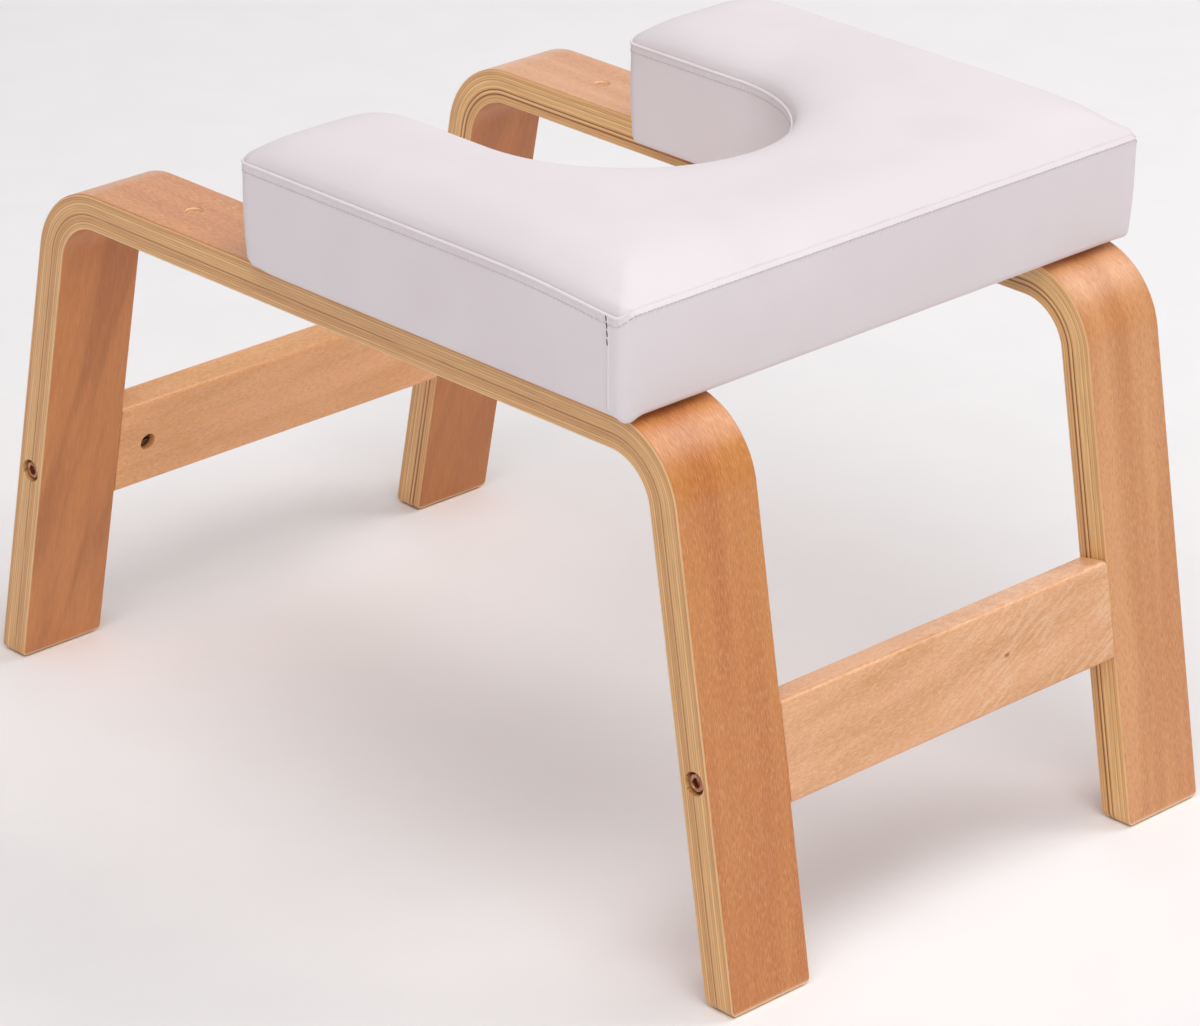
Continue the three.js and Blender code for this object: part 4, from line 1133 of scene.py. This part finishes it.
def stitches(name, places, tangents, normals, size, material, slot):
    # Rounded rods, each along its own tangent: rings of six points, cosine of the angle times the side and
    # sine times the normal, narrower past the rod's ends.
    radius, length = size
    angle = (np.arange(6) * math.pi / 3)[:, None]
    half, past = length / 2, length / 2 + radius * stitchSizes["rodEnd"]
    along = np.array([-past, -half, 0, half, past])
    width = radius * np.array(stitchSizes["rodWidths"])[:, None, None]
    sideways = np.cross(tangents, normals)
    ring = np.cos(angle) * sideways[:, None, None] + np.sin(angle) * normals[:, None, None]
    rods = places[:, None, None] + tangents[:, None, None] * along[:, None, None] + ring * width
    first, faceSets = loft(rods[0])
    offset = (np.arange(len(rods)) * len(first))[:, None, None]
    faceSets = [(faces[None] + offset).reshape(-1, faces.shape[1]) for faces in faceSets]
    addPiece(name, rods.reshape(-1, 3), faceSets, material, slot, sharpAngle=60)


def topStitching(line, outward, place, length, material):
    # one stitch each pitch, along the loop below the seam
    t = stitchSizes
    loop = line - raised(outward * t["sink"], 0)
    spots, headings, number = spacedAlong(loop, place, length, t["pitch"])
    stitches("topStitching", spots, headings, raised(outward[number], 0), t["size"], material, "cover")


def cornerPath(rim, wall, side):
    # x, y and z down the side panel where it meets the rear one; the seam bows to the corner by a half sine
    t, edge = stitchSizes, pad["width"] / 2
    near = (rim[:, 0] * side > edge - t["besideEdge"]) & (rim[:, 1] > pad["neckY"])
    order = np.argsort(rim[near, 1])
    count = len(t["cornerTop"]) + len(wall)
    y = t["cornerSeamY"] + t["cornerBow"] * np.sin(math.pi * np.linspace(0, 1, count))
    level = seamLevel(edge, t["cornerSeamY"])
    path = [(side * (edge + out), spot, level - drop) for (out, drop), spot in zip(t["cornerTop"], y)]
    for row, spot in zip(wall, y[len(path):]):
        x, z = (np.interp(spot, rim[near, 1][order], row[near, axis][order]) for axis in (0, 2))
        path.append((x, spot, z))
    return np.array(path)


def cornerSeam(rim, wall, material):
    # where the side panels meet: two folded lips with a narrow valley, carried down the wall
    along, out = np.array(stitchSizes["cornerSection"]).T
    for side, name in sides:
        x, y, z = cornerPath(rim, wall, side).T[..., None]
        rings = np.stack(np.broadcast_arrays(x + side * out, y + along, z), -1)
        addPiece(name + "CornerSeam", *loft(rings), material, "cover", sharpAngle=75)


def cornerSeamShade(rim, wall, material):
    # painted shade: near-black stitch-shaped rods standing for the shade in the gaps of the seam where the
    # side panels meet at the rear corners
    t = stitchSizes
    height = seamLevel(pad["width"] / 2, t["cornerSeamY"]) - np.array(t["shadeDrops"])
    places, normals = [], []
    for side in (-1, 1):
        path = cornerPath(rim, wall, side)[::-1]
        x, y = (np.interp(height, path[:, 2], path[:, axis]) for axis in (0, 1))
        places.append(np.column_stack([x + side * t["shadeOut"], y, height]))
        normals.append(np.tile([side, 0.0, 0.0], (len(height), 1)))
    tangent = np.array([0, t["shadeSlant"], -1.0])
    tangents = np.tile(tangent / np.linalg.norm(tangent), (2 * len(height), 1))
    stitches("cornerSeamShade", np.concatenate(places), tangents, np.concatenate(normals), t["shadeSize"],
             material, "dust_cloth")


foamSizes = {
    "gap": 0.8, "rollInset": 2.0, "topDrop": 0.6, "bottom": 13.8, "plan": (10, 7.0),
    "loops": ((2.2, 0, 0.2), (8, 0, 0.3), (8, 0.5, 0.4), (8, 1.0, 1.6)),  # down, share of the wall, in
}


def foamPad(material):
    # the cushion's form inside its cover, flat on the board
    f = foamSizes
    inset = pad["skin"] + f["gap"]
    x, y, edge, end = cushionPlan(inset + f["rollInset"], *f["plan"])
    z = crownLevel(x, y, edge, end) - inset - f["topDrop"]
    rim = planRim(inset, *f["plan"])
    outward, level = outwardOf(rim), seamLevel(rim[:, 0], rim[:, 1])
    bottom = pad["base"] + f["bottom"]
    loops = np.array([raised(rim - outward * tuck, (level - drop) * (1 - share) + bottom * share)
                      for drop, share, tuck in f["loops"]])
    top, under = (np.stack([x, y, height], -1) for height in (z, np.full(x.shape, bottom)))
    index = numbered(top)
    loopIndex = numbered(loops, index.size)
    underIndex = index.size + loopIndex.size + index
    walls = ringQuads([rimOf(index), *loopIndex, rimOf(underIndex)])
    faces = np.concatenate([quadsOf(index), walls, quadsOf(underIndex)[:, ::-1]])
    obj = addPiece("foamPadCut", pointsOf(top, loops, under), [faces], material, "foam", ["cushion_foam"],
                   sharpAngle=60)


clothSizes = {
    "inset": 13, "plan": (12, 5.0), "top": 308.95, "thickness": 0.5, "sag": 0.55, "sagReach": 14,
    "freeHalf": 124, "openHalf": 127,  # half widths where the sheet may sag, and where nothing lies below
    "waveX": (11, 1.7, 23), "waveY": (17, 1.1, 31),  # length, bend and the bend's own length
    "waveShare": (0.6, 0.8),
    "boltHole": 4.0, "drillHalf": 6, "drillSides": 32,
    "stapleInset": 19, "staplePitch": 42, "staple": (0.42, 11), "stapleBelow": 0.45,
}


def dustCloth(material, stapleMaterial):
    # A thin sheet stapled under the board: it lies flat over the rails and sags in small waves between them,
    # a sine across the stool times a cosine along it, each one's phase bent by a sine of the other way.
    d = clothSizes
    x, y, edge, end = cushionPlan(d["inset"], *d["plan"])
    free = smoothShare((d["freeHalf"] - np.abs(x)) / d["sagReach"])
    away = np.clip((np.minimum(edge, end) - d["inset"]) / d["sagReach"], 0, 1)
    (waveX, bendX, otherY), (waveY, bendY, otherX) = d["waveX"], d["waveY"]
    waves = np.sin(x / waveX + bendX * np.sin(y / otherY))
    waves = waves * np.cos(y / waveY + bendY * np.sin(x / otherX))
    least, more = d["waveShare"]
    z = d["top"] - d["sag"] * free * away * (least + more * (0.5 + 0.5 * waves))
    index = numbered(x)
    upper = np.stack([x, y, z], -1).reshape(-1, 3)
    rim, flatFaces = rimOf(index), quadsOf(index)
    faces = [flatFaces, flatFaces[:, ::-1] + index.size, ringQuads([rim, rim + index.size])]
    obj = addPiece("dustSheetStapled", np.concatenate([upper, upper - [0, 0, d["thickness"]]]),
                   [np.concatenate(faces)])
    drill = turnedRings([(d["boltHole"], -d["drillHalf"]), (d["boltHole"], d["drillHalf"])], d["drillSides"])
    cutOut(obj, [loft(drill + np.array([side * strip["sideX"], cushionBoltY(rearward), d["top"]]))
                 for side in (-1, 1) for rearward in (-1, 1)])
    dress(obj, material, ["dust_cloth"], sharpAngle=60)

    # staples along the sheet's edge, only where nothing lies under it
    loop = planRim(d["stapleInset"])
    spots, headings, _ = spacedAlong(loop, *loopLength(loop), d["staplePitch"])
    clear = np.abs(spots[:, 0]) < d["openHalf"] - d["staple"][1]
    spots = raised(spots[clear], d["top"] - d["thickness"] - d["stapleBelow"])
    tangents, normals = raised(headings[clear], 0), np.tile([0.0, 0.0, -1.0], (len(spots), 1))
    stitches("dustSheetStaples", spots, tangents, normals, d["staple"], stapleMaterial, "zinc")


# Building

bronze, zinc = plainMaterial("bronze plated steel"), plainMaterial("zinc plated steel")
plugWood = plainMaterial("lacquered beech plug")
for side, name in sides:
    legFrame(name + "LegStrip", side, pressedBeechPly(name), name + "_leg_frame")
    handlePlug(name + "GripPlug", side, plugWood, name + "_handle_plug")
print("leg frames: pressed strips drilled")

for rearward, name in ends:
    crossbar(name + "Rail", rearward, planedBeech(name, -rearward * strip["splay"]), name + "_crossbar")
print("crossbars: drilled")

barBoltX = strip["stoolWidth"] / 2 - boltSizes["bearing"]
padBoltZ = strip["height"] - strip["stripThickness"] + boltSizes["bearing"]
for rearward, end in ends:
    for side, hand in sides:
        name, node = end + hand.title(), "%s_%s" % (end, hand)
        spot = (side * barBoltX, rearward * strip["jointY"], strip["jointZ"])
        socketBolt(name + "BarScrew", boltSizes["barLength"], spot, (-side, 0, 0), bronze, node + "_bar_bolt")
        spot = (side * strip["sideX"], cushionBoltY(rearward), padBoltZ)
        socketBolt(name + "PadScrew", boltSizes["padLength"], spot, (0, 0, 1), bronze, node + "_cushion_bolt")
print("bolts: 8 turned")

leather = syntheticLeather()
stitchLine, walls = cushionCover(leather)
cornerSeam(*walls, leather)
# the white thread is greyer than the leather: partly its own off-white, partly painted shade of the puckered
# row
topStitching(*stitchLine, twistedStrands("white thread", "DDD2D6", "C4B7BC"))
# near-black rods as painted shade in the rear corner seams
cornerSeamShade(*walls, twistedStrands("painted seam shade", "1E1618", "33282C"))
foamPad(cutFoam())
dustCloth(nonWovenCloth(), zinc)
print("cushion: cover, thread, foam and dust cloth made")

# Finishes of the frame's own pieces that stay

finishes = {
    "washer": bronze, "barrel_nut": zinc, "tee_nut": zinc,
    "dowel": plainMaterial("turned beech, bare"), "board": plainMaterial("sanded plywood"),
}
for name, obj in nodes.items():
    for ending, material in finishes.items():
        if name.endswith(ending):
            for materialSlot in obj.material_slots:
                materialSlot.material = material

# Floor, light and camera

studio = {
    "floor": "FDFBFC", "speckle": "FBF9FA", "speckleLimits": (0.3, 0.7), "floorRoughness": 0.9,
    "floorHalf": 9.0,
    "zenith": "FFFFFF", "horizon": "FFEEF3", "worldStrength": 0.31, "horizonStrength": 0.2,
    "horizonRise": 0.3, "hueRise": 0.6, "aim": (0.0, 0.0, 0.2),
    "lights": [  # name, place, size, power
        ("overhead softbox", (1.4, 1.5, 4.2), 4.0, 70.0),
        ("camera softbox", (2.0, 1.8, 3.7), 4.0, 59.0),
        ("left softbox", (-2.5, 1.1, 3.2), 2.1, 53.0),
        ("back softbox", (-3.0, -3.1, 1.1), 3.0, 25.0),
    ],
}
cameraLook = {
    "azimuth": 135.41087, "elevation": 24.08798, "roll": 0.85833,
    "place": (1.85449329, 1.89176227, 1.31416059),
    "focalPixels": 5179.198, "framePixels": 1200, "sensor": 36.0,
}

corners = np.array([[-1, -1, 0], [1, -1, 0], [1, 1, 0], [-1, 1, 0]]) * studio["floorHalf"] / metre
floor = addPiece("floor", corners, [np.array([[0, 1, 2, 3]])])
floorMaterial, tree = blank("pale floor")
speckle = addNode(tree, "TexNoise", {"Vector": inMillimetres(tree), "Scale": 0.02})
colour = tinted(tree, studio["floor"], speckle, studio["speckleLimits"], studio["speckle"])
closeMaterial(tree, colour, studio["floorRoughness"])
floor.data.materials.append(floorMaterial)

world = bpy.data.worlds.new("studio")
scene.world = world
world.use_nodes = True
tree = world.node_tree
tree.nodes.clear()
ray = addNode(tree, "TexCoord").outputs["Generated"]
rise = addNode(tree, "SeparateXYZ", {0: ray}).outputs["Z"]
strengths = studio["horizonStrength"], studio["worldStrength"]
glow = eased(tree, rise, (0.0, studio["horizonRise"]), strengths)
hue = tinted(tree, studio["horizon"], rise, (0.0, studio["hueRise"]), studio["zenith"])
sky = addNode(tree, "Background", {"Color": hue, "Strength": glow})
addNode(tree, "OutputWorld", {"Surface": sky})
for name, place, size, power in studio["lights"]:
    light = bpy.data.lights.new(name, "AREA")
    light.shape, light.size, light.energy = "SQUARE", size, power
    lamp = bpy.data.objects.new(name, light)
    lamp.location = place
    lamp.rotation_mode = "QUATERNION"
    lamp.rotation_quaternion = (Vector(studio["aim"]) - Vector(place)).to_track_quat("-Z", "Y")
    scene.collection.objects.link(lamp)
scene.view_settings.view_transform = "Standard"

azimuth, elevation, roll = (math.radians(cameraLook[name]) for name in ("azimuth", "elevation", "roll"))
flat = math.cos(elevation)
back = np.array([math.sin(azimuth) * flat, -math.cos(azimuth) * flat, math.sin(elevation)])
level = np.array([math.cos(azimuth), math.sin(azimuth), 0])
upright = np.cross(back, level)
right = level * math.cos(roll) + upright * math.sin(roll)
up = -level * math.sin(roll) + upright * math.cos(roll)
camera = bpy.data.objects.new("camera", bpy.data.cameras.new("camera"))
camera.data.sensor_width = cameraLook["sensor"]
camera.data.lens = cameraLook["focalPixels"] * cameraLook["sensor"] / cameraLook["framePixels"]
camera.data.clip_end = 50
matrix = Matrix.Identity(4)
for axis, vector in enumerate((right, up, back, cameraLook["place"])):
    for row in range(3):
        matrix[row][axis] = vector[row]
camera.matrix_world = matrix
scene.collection.objects.link(camera)
bpy.context.scene.camera = camera
print("stage: floor, lights and camera set")

print("pieces made here: %d" % len(pieces))
